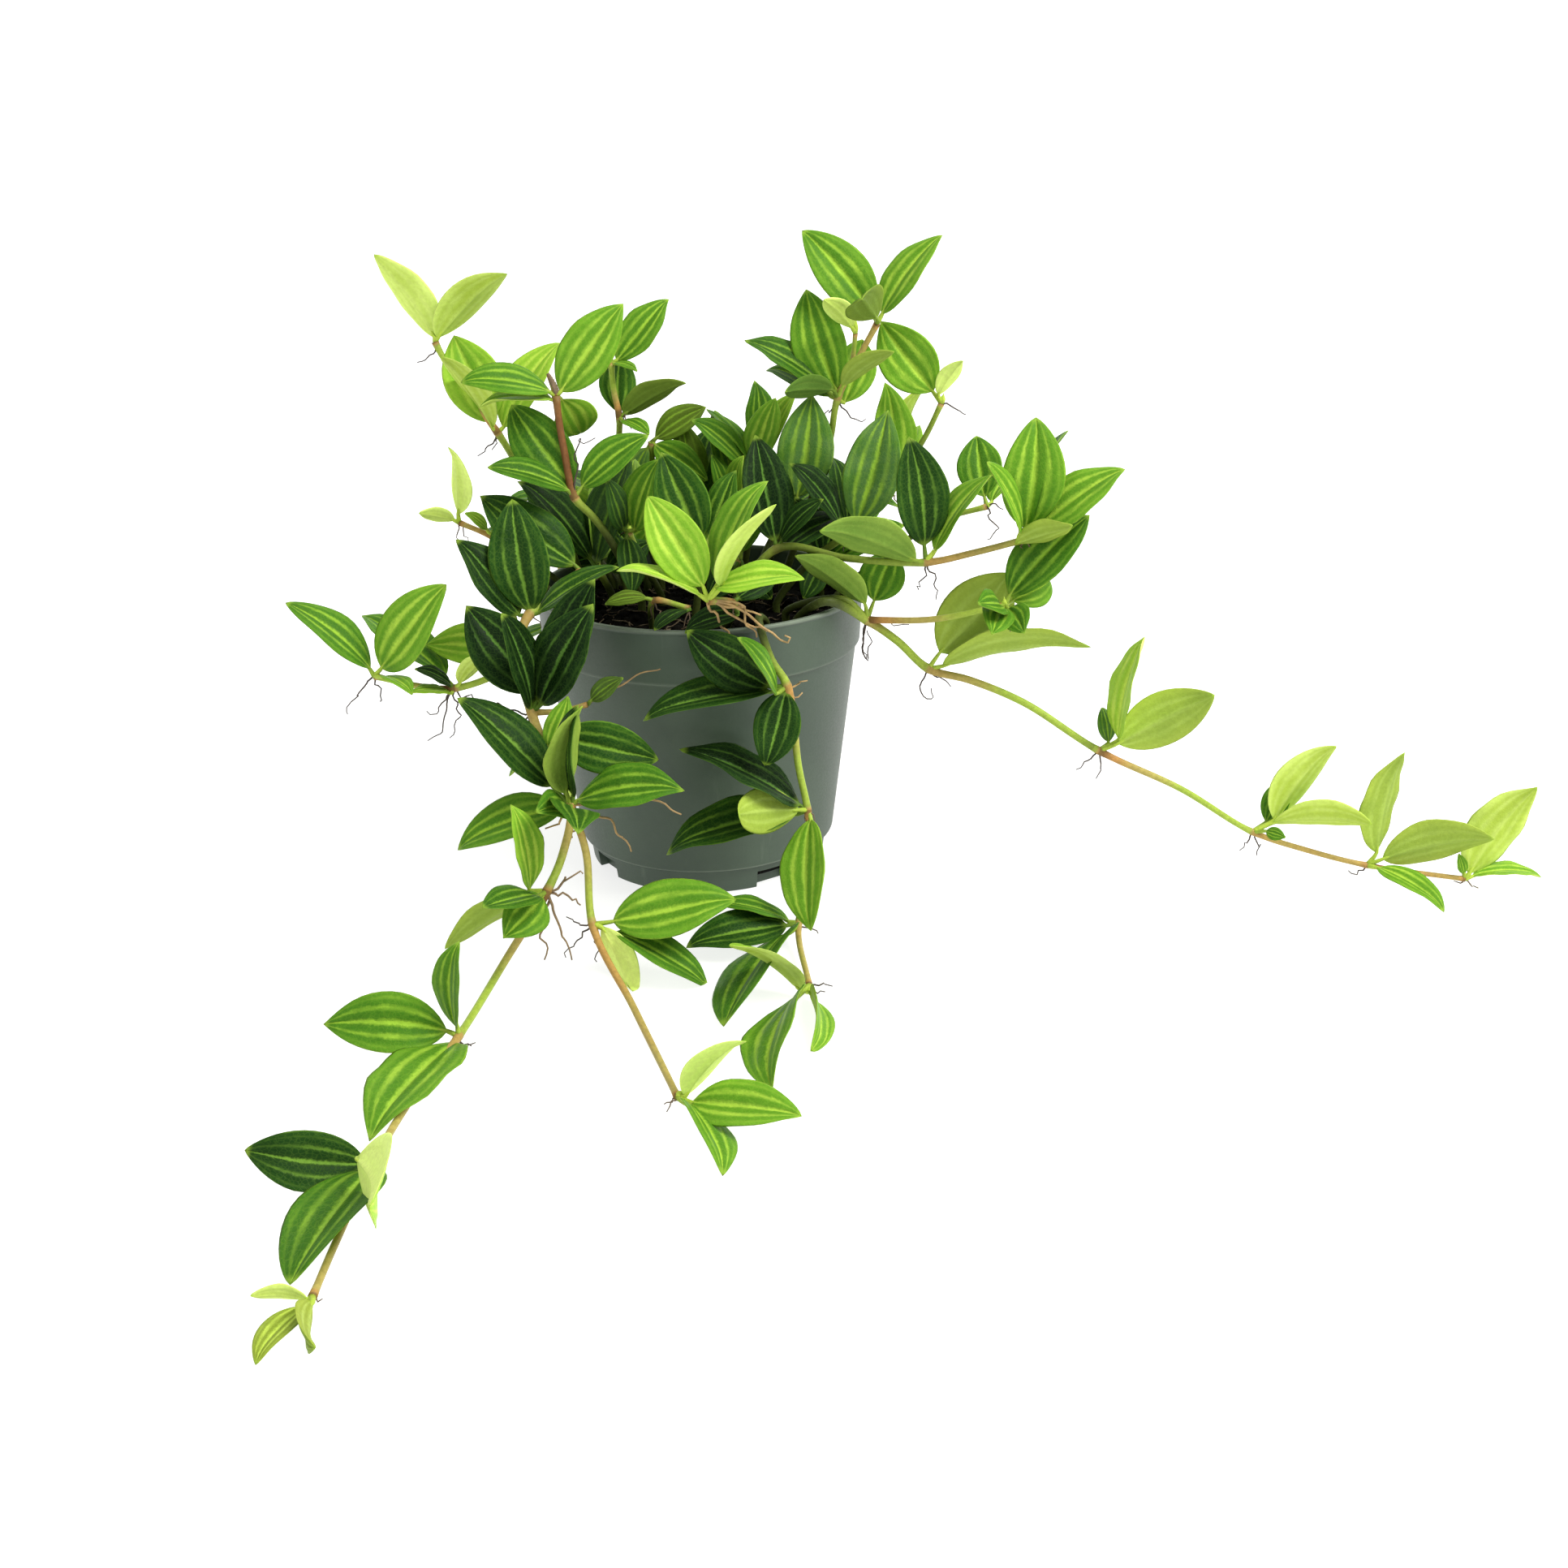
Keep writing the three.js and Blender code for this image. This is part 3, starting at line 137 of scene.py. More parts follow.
# Each spray is one leafy stem with its side shoots, as read off the picture. Joint: picture point and depth.
# Leaf, under its joint: base, tip, width seen, side seen, reach to the front or height of the tip, tone.
# Root, bud and spike: joint, then picture points. Shoot: thickness at both ends, then what it runs through.
sprays = {
    "stem_upper_left": {
        "joints": {"A": (536, 421, 10), "B": (613, 533, 5)},
        "leaves": {
            "A": [(536, 416, 460, 314, 38, under, 8, "straw"), (539, 416, 623, 333, 40, under, 8, "straw")],
            "B": [
                (604, 520, 559, 413, 68, top, -8, "glow"), (607, 526, 544, 437, 28, under, 8, "straw"),
                (620, 526, 690, 422, 45, top, -8, "glow"),
            ],
        },
        "roots": [
            ("A", (535, 437), (524, 442), (514, 445)), ("B", (611, 540), (600, 553), (587, 562)),
            ("B", (612, 541), (611, 548), (608, 552)),
        ],
        "shoots": [(2.9, 2.1, soil(-30, 17), (650, 590, 12), "B", (568, 472, 8), (544, 437, 10), "A")],
    },
    "stem_flowering": {
        "joints": {"C": (685, 488, -12), "D": (708, 613, -17)},
        "leaves": {
            "C": [
                (691, 482, 767, 373, 62, top, -6, "bright"), (678, 483, 568, 468, 36, top, 8, "fresh"),
                (680, 492, 590, 497, 14, top, 2, "light"), (692, 492, 716, 536, 54, top, -18, "light"),
            ],
            "D": [
                (705, 601, 630, 499, 66, top, -14, "green"), (700, 604, 600, 576, 30, top, 8, "green"),
                (717, 600, 799, 536, 42, top, -4, "mid"),
            ],
        },
        "roots": [("D", (715, 540), (722, 543), (731, 542))],
        "spikes": [("C", (684, 480), (680, 470), (675, 460))],
        "shoots": [
            (2.9, 2.3, soil(-19, -7), (745, 655, -14), (726, 632, -16), "D", (696, 560, -15),
             (689, 520, -13), "C"),
            (1.6, 1, "C", (675, 462, -12)),
        ],
    },
    "stem_top_left": {
        "joints": {"PP": (753, 447, 12), "QQ": (763, 513, 10)},
        "leaves": {
            "PP": [(760, 444, 823, 367, 42, top, -6, "fresh"), (757, 448, 785, 456, 9, top, 6, "fresh")],
            "QQ": [
                (762, 508, 765, 440, 44, top, -14, "green"), (768, 511, 845, 469, 28, under, 6, "olive"),
                (767, 518, 800, 536, 16, top, 12, "fresh"),
            ],
        },
        "shoots": [(2.7, 2, soil(-14, 18), (764, 560, 12), "QQ", (756, 480, 11), "PP")],
    },
    "stem_left_tip": {
        "joints": {"F": (566, 644, -6), "F0": (606, 661, -8)},
        "leaves": {
            "F": [(565, 633, 557, 549, 22, under, 6, "young"), (560, 641, 516, 632, 18, under, 8, "young")],
            "F0": [(600, 652, 573, 632, 14, top, 4, "straw")],
        },
        "shoots": [(2.4, 1.8, soil(-41, 3), (640, 680, -4), "F0", "F")],
    },
    "stem_left_cascade": {
        "joints": {
            "G0": (718, 706, -22), "G": (652, 757, -40), "H": (655, 878, -60), "I": (724, 868, -57),
            "K0": (674, 925, -69), "K": (703, 992, -78), "L": (674, 1098, -98), "N": low(565, 1277, 3.4),
            "P": low(462, 1428, 3.2), "Q": low(385, 1598, 2.8), "M": (730, 1139, -94),
            "R": low(835, 1352, 2.8),
        },
        "leaves": {
            "G0": [(708, 696, 591, 611, 62, top, -4, "deep")],
            "G": [
                (654, 753, 631, 615, 72, top, -8, "dim"), (640, 758, 564, 663, 50, top, 0, "dark"),
                (663, 755, 762, 697, 24, top, -2, "deep"),
            ],
            "H": [
                (664, 852, 574, 746, 75, top, -6, "dark"), (654, 872, 617, 755, 40, top, 0, "dark"),
                (665, 868, 727, 745, 66, top, 4, "dark"), (684, 850, 732, 713, 58, top, -4, "dark"),
            ],
            "I": [(728, 863, 768, 835, 24, top, 0, "grey")],
            "K0": [(688, 908, 812, 936, 64, top, 0, "deep"), (676, 920, 700, 858, 34, top, -3, "bright")],
            "K": [
                (680, 968, 563, 860, 55, top, -4, "dim"), (694, 996, 562, 1045, 51, top, 4, "fresh"),
                (698, 995, 664, 998, 40, top, 24, "mid"), (704, 998, 714, 1020, 48, top, 24, "green"),
                (712, 986, 841, 970, 55, top, 0, "mid"), (698, 978, 714, 868, 38, under, 4, "fresh"),
                (706, 980, 709, 869, 24, top, 8, "dim"),
            ],
            "L": [
                (652, 1096, 632, 991, 36, top, -4, "light"), (664, 1100, 548, 1170, 30, under, 6, "pale"),
                (668, 1104, 620, 1156, 56, top, 16, "fresh"), (662, 1104, 594, 1118, 32, top, 4, "green"),
            ],
            "N": [
                (550, 1270, 398, 1262, 72, top, high(9), "fresh"),
                (562, 1285, 453, 1398, 69, top, high(2.5), "fresh"),
                (563, 1266, 562, 1161, 32, top, -2, "fresh"),
            ],
            "P": [
                (450, 1434, 301, 1417, 70, top, high(9), "dim"),
                (456, 1442, 357, 1583, 70, top, high(2.5), "mid"),
                (440, 1428, 455, 1488, 44, under, high(13), "milky"),
            ],
            "Q": [
                (379, 1601, 308, 1597, 16, under, high(5), "fawn"),
                (378, 1610, 313, 1677, 30, top, high(2), "tawny"),
                (384, 1605, 384, 1662, 15, under, high(4), "dun"),
            ],
            "M": [
                (756, 1135, 906, 1105, 70, top, 0, "fresh"), (758, 1149, 874, 1213, 38, top, 8, "mid"),
                (742, 1142, 782, 1237, 36, under, 12, "milky"),
            ],
            "R": [
                (853, 1358, 988, 1375, 59, top, high(7), "bright"),
                (843, 1358, 895, 1442, 32, top, high(2), "fresh"),
                (844, 1350, 917, 1278, 28, under, 2, "milky"),
            ],
        },
        "roots": [
            ("I", (748, 850), (790, 832), (812, 822)), ("K", (716, 1003), (744, 1006), (776, 1047)),
            ("H", (648, 881), (632, 874), (613, 870), (586, 868)),
            ("H", (648, 885), (636, 892), (625, 895)), ("H", (652, 886), (650, 900), (642, 910)),
            ("K", (813, 986), (826, 996), (841, 1004)), ("K", (700, 1003), (690, 1012), (676, 1020)),
            ("K", (705, 1004), (708, 1020), (703, 1034)), ("L", (676, 1110), (668, 1140), (673, 1180)),
            ("L", (678, 1110), (692, 1150), (704, 1178)), ("L", (684, 1096), (700, 1080), (717, 1077)),
            ("L", (684, 1102), (700, 1104), (717, 1115)), ("N", (568, 1284), (578, 1290), (586, 1291)),
            ("N", (567, 1286), (574, 1298), (582, 1304)), ("N", (560, 1286), (552, 1296), (541, 1300)),
            ("M", (722, 1140), (708, 1136), (698, 1130)), ("M", (724, 1146), (708, 1162), (696, 1179)),
            ("M", (732, 1150), (737, 1170), (733, 1186)),
        ],
        "buds": [("R", (842, 1344))],
        "shoots": [
            (3.2, 1.9, soil(-35, -21), "G0", at(-43, -33.5, 99), "G", at(-54, -51, 84), "H", "K0", "K",
             (694, 1050, -88), "L", low(623, 1183, 7), "N", low(516, 1340, 2.2), "P", low(414, 1530, 2.2),
             "Q"),
            (2.1, 1.6, "H", (692, 876, -58), "I"),
            (2.5, 2, "K", (722, 1050, -84), "M", low(780, 1240, 3), "R"),
        ],
    },
    "stem_far_left": {
        "joints": {"SB": (645, 803, -27), "SS": (560, 848, -36), "RR": (461, 833, -36)},
        "leaves": {
            "SB": [(638, 800, 525, 795, 52, top, 0, "glow")],
            "SS": [
                (548, 834, 446, 757, 40, top, -20, "mid"), (566, 842, 613, 803, 20, under, 4, "straw"),
                (556, 845, 511, 824, 16, top, 0, "dark"), (556, 854, 506, 853, 12, top, 8, "straw"),
            ],
            "RR": [
                (456, 824, 351, 743, 40, top, 0, "mid"), (470, 823, 548, 720, 62, top, 6, "bright"),
                (471, 834, 508, 853, 16, top, 14, "bright"),
            ],
        },
        "roots": [
            ("SS", (552, 856), (537, 878), (526, 877)),
            ("SS", (554, 858), (545, 885), (545, 905), (527, 911)),
            ("SS", (560, 860), (566, 878), (563, 891), (555, 909)),
            ("SS", (566, 856), (580, 860), (586, 868), (602, 872)),
            ("RR", (453, 840), (440, 858), (430, 870), (426, 880)),
            ("RR", (463, 842), (470, 856), (468, 868)),
        ],
        "shoots": [
            (2.9, 2, soil(-43, -9), at(-53.5, -15, 99), at(-59, -22, 92), "SB", (609, 832, -34), "SS",
             (520, 846, -35), "RR"),
        ],
    },
    "stem_front_bright": {
        "joints": {"V": (872, 740, -59), "V0": (902, 743, -56)},
        "leaves": {
            "V": [
                (866, 722, 798, 611, 66, top, -6, "glow"), (884, 718, 940, 590, 40, top, -4, "bright"),
                (889, 722, 957, 622, 18, under, 6, "straw"), (882, 724, 990, 709, 34, top, 10, "glow"),
                (863, 733, 761, 698, 14, top, 4, "young"),
            ],
            "V0": [(910, 757, 842, 778, 28, top, 0, "dark"), (908, 738, 957, 712, 30, top, -10, "dark")],
        },
        "roots": [
            ("V", (872, 745), (884, 760), (893, 775), (901, 787)),
            ("V", (890, 746), (897, 756), (915, 765), (948, 780)),
            ("V", (905, 742), (918, 750), (935, 757)), ("V", (912, 752), (925, 772), (930, 788)),
            ("V", (900, 745), (935, 768), (952, 779), (960, 790), (970, 793), (973, 786), (967, 782)),
        ],
        "shoots": [(2.9, 2.4, soil(9, -37), "V0", "V")],
    },
    "stem_front": {
        "joints": {
            "S1": (970, 845, -60), "S2": (995, 998, -62), "T": (984, 1137, -76), "U": low(997, 1214, 3),
        },
        "leaves": {
            "S1": [
                (947, 846, 846, 777, 66, top, 2, "dark"), (950, 852, 791, 881, 38, top, 8, "dim"),
                (956, 855, 910, 785, 20, top, 8, "mid"), (968, 852, 943, 944, 58, top, 8, "dim"),
            ],
            "S2": [
                (986, 992, 838, 921, 40, top, 2, "dark"), (982, 1003, 818, 1046, 52, top, 2, "deep"),
                (984, 998, 905, 1005, 58, under, 14, "pale"), (999, 1010, 996, 1146, 55, top, 25, "bright"),
            ],
            "T": [
                (972, 1135, 878, 1112, 20, top, -2, "mid"),
                (969, 1140, 845, 1163, 47, top, high(5), "deep"),
                (976, 1147, 890, 1263, 40, top, high(2), "mid"),
            ],
            "U": [
                (986, 1219, 900, 1162, 14, under, 14, "young"),
                (986, 1225, 942, 1337, 42, top, high(2), "fresh"),
                (998, 1222, 1005, 1293, 18, top, high(2), "bright"),
            ],
        },
        "roots": [
            ("S1", (974, 848), (984, 842), (992, 838)), ("S1", (970, 852), (978, 858), (990, 856)),
            ("T", (988, 1142), (1000, 1144), (1010, 1150)), ("U", (1004, 1214), (1014, 1212), (1023, 1214)),
            ("U", (1000, 1220), (1006, 1228), (1018, 1230)),
        ],
        "buds": [("U", (990, 1232))],
        "shoots": [
            (2.8, 1.9, soil(22, -34), (935, 766, -56), (950, 812, -58.5), "S1", (984, 945, -62), "S2",
             (1000, 1070, -70), "T", "U"),
        ],
    },
    "stem_rim_front": {
        "joints": {"WA": (806, 740, -40), "WB": (850, 750, -43)},
        "leaves": {
            "WA": [(797, 737, 745, 745, 18, top, 2, "olive")],
            "WB": [(846, 752, 806, 776, 16, top, 10, "dark")],
        },
        "shoots": [(2.3, 1.8, soil(-14, -32), "WA", "WB")],
    },
    "stem_mound_left": {
        "joints": {"X1": (738, 703, -4)},
        "leaves": {
            "X1": [
                (735, 695, 778, 560, 46, top, -2, "blue"), (728, 690, 641, 590, 42, top, 0, "dark"),
                (738, 690, 728, 568, 44, top, -14, "ashen"), (748, 702, 800, 668, 38, top, 8, "dim"),
            ],
        },
        "shoots": [(2.9, 2.4, soil(-29, 2), "X1")],
    },
    "stem_mound_middle": {
        "joints": {"X3": (774, 655, -8), "X13": (790, 690, -4)},
        "leaves": {
            "X3": [
                (772, 662, 778, 734, 36, top, 14, "dim"), (775, 650, 783, 566, 38, top, -14, "ashen"),
                (768, 652, 748, 590, 30, top, -8, "blue"), (782, 652, 812, 566, 42, top, -2, "fresh"),
            ],
            "X13": [(786, 684, 748, 645, 26, top, 3, "deep")],
        },
        "shoots": [(2.7, 2.3, soil(-13, 2), "X13", "X3")],
    },
    "stem_mound_front": {
        "joints": {"X7": (868, 672, -22)},
        "leaves": {
            "X7": [
                (863, 664, 815, 557, 65, top, -6, "deep"), (873, 663, 905, 578, 38, top, -6, "green"),
                (862, 676, 800, 650, 24, top, 0, "dark"), (876, 668, 936, 630, 38, top, -10, "deep"),
                (864, 680, 836, 716, 40, top, 14, "dark"),
            ],
        },
        "shoots": [(2.9, 2.4, soil(-1, -18), "X7")],
    },
    "stem_mound_back": {
        "joints": {"X6": (803, 545, 20)},
        "leaves": {
            "X6": [
                (807, 548, 872, 592, 40, top, 10, "fresh"), (808, 540, 870, 501, 34, top, -4, "olive"),
                (798, 552, 770, 620, 34, top, 12, "misty"),
            ],
        },
        "shoots": [(2.8, 2.3, soil(-6, 28), (806, 620, 26), "X6")],
    },
    "stem_mound_high": {
        "joints": {"X9": (926, 585, 12), "X12": (905, 622, 8)},
        "leaves": {
            "X9": [
                (920, 578, 853, 516, 30, top, 4, "mid"), (925, 574, 870, 504, 16, top, -8, "mid"),
                (930, 574, 956, 490, 40, top, -12, "bright"),
            ],
            "X12": [
                (904, 612, 914, 562, 22, top, 4, "light"), (898, 614, 876, 560, 26, top, 8, "mid"),
                (902, 612, 880, 506, 44, top, -8, "mid"),
            ],
        },
        "shoots": [(2.8, 2.2, soil(8, 22), (905, 670, 12), "X12", "X9")],
    },
    "stem_right_front": {
        "joints": {"Y0": (957, 676, -18), "Y": (1141, 693, -34), "Z": (1262, 665, -38)},
        "leaves": {
            "Y0": [
                (955, 667, 932, 535, 60, top, -6, "dark"), (962, 668, 1015, 615, 26, top, 2, "dark"),
                (966, 676, 1042, 636, 34, top, -14, "dark"),
            ],
            "Y": [
                (1139, 672, 1120, 538, 64, top, -4, "dim"), (1128, 690, 1009, 650, 48, under, 10, "sage"),
                (1152, 678, 1223, 583, 28, top, 0, "bright"),
            ],
            "Z": [
                (1264, 651, 1277, 514, 75, top, -6, "fresh"), (1272, 655, 1386, 577, 52, top, 0, "bright"),
                (1258, 656, 1216, 569, 20, top, 2, "bright"), (1252, 669, 1322, 648, 28, under, 12, "pale"),
                (1268, 652, 1311, 527, 24, top, -14, "mid"),
            ],
        },
        "roots": [
            ("Y", (1144, 700), (1152, 719), (1157, 737)), ("Y", (1140, 700), (1136, 716), (1128, 728)),
        ],
        "buds": [("Y", (1150, 676)), ("Z", (1290, 624))],
        "shoots": [(2.9, 2.1, soil(10, -16), "Y0", (1045, 688, -28), "Y", (1200, 681, -36), "Z")],
    },
    "stem_right_middle": {
        "joints": {"Y3": (1048, 657, -12)},
        "leaves": {
            "Y3": [
                (1034, 645, 975, 569, 32, top, 4, "dark"), (1044, 645, 1026, 560, 36, top, -18, "dim"),
                (1056, 643, 1095, 505, 68, top, -6, "misty"),
            ],
        },
        "shoots": [(2.9, 2.4, soil(25, -4), (1000, 690, -6), "Y3")],
    },
    "stem_right_inner": {
        "joints": {"Y2": (984, 625, 0)},
        "leaves": {
            "Y2": [
                (982, 612, 1000, 486, 68, top, -4, "misty"), (974, 622, 946, 588, 30, top, -14, "green"),
            ],
        },
        "shoots": [(2.6, 2.1, soil(17, 6), "Y2")],
    },
    "stem_right_trail": {
        "joints": {
            "BB": (1068, 764, -28), "AA": (1237, 746, -42), "CC": (1144, 824, -30), "DD": (1354, 925, -40),
            "EE": (1543, 1025, -38), "FF": (1684, 1066, -40), "GG": low(1805, 1083, 2.6),
        },
        "leaves": {
            "BB": [(1066, 744, 980, 682, 36, under, 8, "sage"), (1077, 740, 1101, 678, 56, top, -8, "mid")],
            "AA": [
                (1244, 734, 1343, 635, 62, top, -4, "mid"), (1248, 740, 1296, 714, 45, top, -14, "fresh"),
                (1235, 750, 1222, 782, 42, top, 20, "fresh"), (1242, 750, 1262, 780, 40, top, 18, "mid"),
                (1232, 746, 1204, 744, 30, top, 14, "mid"),
            ],
            "CC": [
                (1158, 804, 1243, 706, 85, under, 8, "pale"), (1162, 820, 1345, 796, 28, under, 10, "pale"),
            ],
            "DD": [
                (1378, 916, 1497, 856, 64, under, 8, "pale"), (1378, 910, 1412, 784, 28, top, 0, "milky"),
                (1366, 914, 1358, 871, 22, top, -8, "misty"),
            ],
            "EE": [
                (1560, 1012, 1587, 960, 32, top, -6, "mid"), (1570, 1009, 1644, 916, 40, under, 4, "straw"),
                (1568, 1014, 1691, 1015, 30, under, 8, "straw"),
                (1560, 1024, 1584, 1032, 16, top, 6, "mid"),
            ],
            "FF": [
                (1696, 1050, 1728, 925, 36, under, 4, "pale"),
                (1704, 1058, 1841, 1033, 46, under, 8, "pale"),
                (1698, 1069, 1781, 1121, 24, top, high(2), "bright"),
            ],
            "GG": [
                (1810, 1076, 1893, 968, 52, under, 4, "straw"),
                (1815, 1079, 1900, 1078, 16, top, high(4), "light"),
                (1804, 1076, 1797, 1052, 12, top, 0, "fresh"),
            ],
        },
        "roots": [
            ("BB", (1066, 776), (1063, 790), (1067, 812)),
            ("BB", (1066, 771), (1063, 787), (1067, 811), (1073, 795), (1070, 776)),
            ("BB", (1076, 764), (1096, 766), (1116, 772)),
            ("CC", (1138, 836), (1134, 849), (1142, 862), (1150, 858), (1148, 848)),
            ("CC", (1150, 832), (1164, 838), (1172, 846)), ("DD", (1344, 934), (1334, 942), (1326, 948)),
            ("DD", (1356, 936), (1356, 950), (1350, 960)), ("EE", (1539, 1034), (1534, 1040), (1529, 1048)),
            ("EE", (1548, 1034), (1552, 1044), (1548, 1052)),
            ("FF", (1680, 1072), (1670, 1076), (1662, 1075)),
        ],
        "buds": [("AA", (1237, 735))],
        "shoots": [
            (3.1, 1.7, soil(31, -27), (1017, 741, -38), "BB", (1106, 790, -30), "CC", (1195, 838, -32),
             (1262, 866, -36), "DD", (1455, 972, -40), "EE", (1612, 1048, -38), "FF", "GG"),
            (2.8, 2.6, soil(28, -15), (1040, 739, -31), "BB"),
            (2.3, 1.9, "BB", (1150, 763, -36), "AA"),
        ],
    },
    "stem_top_right": {
        "joints": {"HH": (1081, 398, 5), "KK": (1054, 410, 3), "JJ": (1032, 491, 2)},
        "leaves": {
            "HH": [
                (1076, 387, 988, 284, 60, top, -6, "fresh"), (1087, 386, 1161, 289, 38, top, -4, "bright"),
                (1080, 392, 1060, 366, 54, under, 26, "olive"),
            ],
            "KK": [(1050, 404, 1015, 369, 28, under, 8, "young")],
            "JJ": [
                (1030, 480, 993, 355, 64, top, -6, "fresh"), (1022, 482, 917, 419, 34, top, 0, "green"),
                (1024, 488, 944, 452, 30, top, -12, "mid"), (1026, 480, 966, 482, 28, under, 14, "deep"),
                (1038, 476, 1102, 433, 24, under, 10, "pale"),
                (1040, 496, 1062, 418, 50, top, -16, "bright"),
            ],
        },
        "roots": [
            ("JJ", (1034, 496), (1040, 506), (1052, 515), (1066, 520)),
            ("JJ", (1028, 498), (1020, 510), (1012, 514)),
        ],
        "buds": [("KK", (1054, 388))],
        "shoots": [
            (2.9, 2, soil(27, 8), (1022, 545, 4), "JJ", (1054, 448, 4), "HH"),
            (1.8, 1.4, (1050, 455, 4), "KK"),
        ],
    },
    "stem_low_left": {
        "joints": {"XL": (752, 676, 16)},
        "leaves": {
            "XL": [
                (747, 668, 690, 596, 40, top, -4, "ashen"), (752, 667, 728, 570, 44, top, -6, "ashen"),
                (757, 668, 780, 590, 44, top, -4, "green"), (760, 676, 806, 640, 38, top, 4, "fresh"),
                (744, 682, 694, 692, 34, top, 6, "dark"),
            ],
        },
        "shoots": [(2.4, 2, soil(-26, 14), "XL")],
    },
    "stem_low_middle": {
        "joints": {"XM": (912, 690, -6)},
        "leaves": {
            "XM": [
                (904, 686, 846, 636, 40, top, -6, "bright"), (913, 680, 934, 590, 42, top, -8, "mid"),
                (906, 698, 872, 738, 36, top, 8, "dark"), (916, 698, 950, 738, 38, top, 8, "dark"),
            ],
        },
        "shoots": [(2.4, 2, soil(5, -4), "XM")],
    },
    "stem_low_right": {
        "joints": {"XR": (1016, 692, 4)},
        "leaves": {
            "XR": [
                (1010, 684, 978, 612, 42, top, -4, "dark"), (1018, 682, 1040, 596, 42, top, -8, "dim"),
                (1022, 685, 1092, 612, 40, top, -4, "mid"), (1025, 690, 1114, 646, 36, top, 2, "mid"),
                (1010, 699, 990, 738, 34, top, 10, "dim"),
            ],
        },
        "shoots": [(2.4, 2, soil(35, 3), "XR")],
    },
    "stem_low_back": {
        "joints": {"X14": (852, 632, 20)},
        "leaves": {
            "X14": [
                (848, 623, 838, 516, 44, top, -6, "olive"), (855, 622, 884, 520, 44, top, -8, "deep"),
                (845, 627, 806, 566, 38, top, -2, "deep"), (859, 627, 908, 562, 36, top, -4, "mid"),
            ],
        },
        "shoots": [(2.4, 2, soil(-3, 18), "X14")],
    },
    "stem_low_edge": {
        "joints": {"X16": (700, 664, 4)},
        "leaves": {
            "X16": [
                (696, 655, 650, 592, 38, top, -6, "dark"), (700, 654, 690, 596, 36, top, -8, "blue"),
                (692, 662, 640, 650, 34, top, 2, "dim"),
            ],
        },
        "shoots": [(2.4, 2, soil(-37, 4), "X16")],
    },
    "stem_top_middle": {
        "joints": {"LL": (940, 566, 30)},
        "leaves": {
            "LL": [(937, 558, 932, 468, 38, top, -6, "mid"), (946, 558, 980, 484, 26, top, -2, "glow")],
        },
        "shoots": [(2.6, 2.1, soil(14, 36), "LL")],
    },
    "stem_right_back": {
        "joints": {"NN": (1098, 606, 16)},
        "leaves": {
            "NN": [
                (1096, 596, 1092, 471, 52, top, -4, "bright"), (1104, 588, 1135, 474, 22, under, 4, "pale"),
                (1108, 598, 1133, 523, 34, top, -6, "glow"),
            ],
        },
        "shoots": [(2.7, 2.3, soil(37, 22), "NN")],
    },
    "stem_right_tip": {
        "joints": {"II": (1160, 497, 12)},
        "leaves": {
            "II": [
                (1149, 482, 1085, 396, 66, top, -4, "bright"),
                (1156, 486, 1186, 443, 22, under, 6, "milky"),
            ],
        },
        "roots": [("II", (1163, 499), (1179, 502), (1190, 512))],
        "buds": [("II", (1163, 484))],
        "shoots": [(2.6, 1.9, soil(40, 9), (1136, 545, 13), "II")],
    },
    "stem_right_short": {
        "joints": {"OO": (1216, 624, -6)},
        "leaves": {
            "OO": [
                (1213, 612, 1203, 537, 54, top, -12, "mid"), (1222, 618, 1250, 580, 24, top, -16, "bright"),
            ],
        },
        "roots": [
            ("OO", (1218, 628), (1226, 650), (1226, 659), (1218, 665)),
            ("OO", (1222, 622), (1230, 622), (1236, 628)),
        ],
        "shoots": [(2.3, 1.9, soil(43, -3), (1150, 645, -2), "OO")],
    },
}

# Stems at the back, which the picture hides. Course: turn, way out from the rim, rise over it and share of
# the drop of each place past the soil. Fan: the joint in that course, length, slope and tones of its leaves.
backTrails = {
    "angles": [62, 88, 114, 138], "drops": [44, 68, 40, 60], "soilRadius": 40,
    "course": [(0, 4, 7, 0), (2, 11, 0, 0), (4, 12, 0, 0.4), (8, 9, 0, 1)],
    "fans": [
        (0, 0.85, 0, ("deep", "dark", "green")), (2, 0.8, -0.7, ("deep", "mid")),
        (3, 0.7, -1.1, ("fresh", "bright")),
    ],
}
backUprights = {
    "angles": [50, 90, 130], "heights": [24, 30, 26], "soilRadius": 30, "lean": 14,
    "tones": ("mid", "deep", "green"),
}
backStem = {"thick": 3, "thickEnd": 2.4, "leafLength": 37, "stalk": 4, "rise": 0.15, "fan": math.radians(200)}


def makeMesh(name, points, faces, materials, faceMaterials=None, attributes=None):
    mesh = bpy.data.meshes.new(name)
    mesh.from_pydata((np.asarray(points) * mm).tolist(), [], faces)
    for material in materials:
        mesh.materials.append(material)
    if faceMaterials is not None:
        mesh.polygons.foreach_set("material_index", faceMaterials)
    for key, values in (attributes or {}).items():
        layer = mesh.attributes.new(key, "FLOAT_VECTOR", "POINT")
        layer.data.foreach_set("vector", np.asarray(values, float).ravel())
    mesh.polygons.foreach_set("use_smooth", [True] * len(mesh.polygons))
    mesh.validate()
    piece = bpy.data.objects.new(name, mesh)
    bpy.context.scene.collection.objects.link(piece)
    return piece


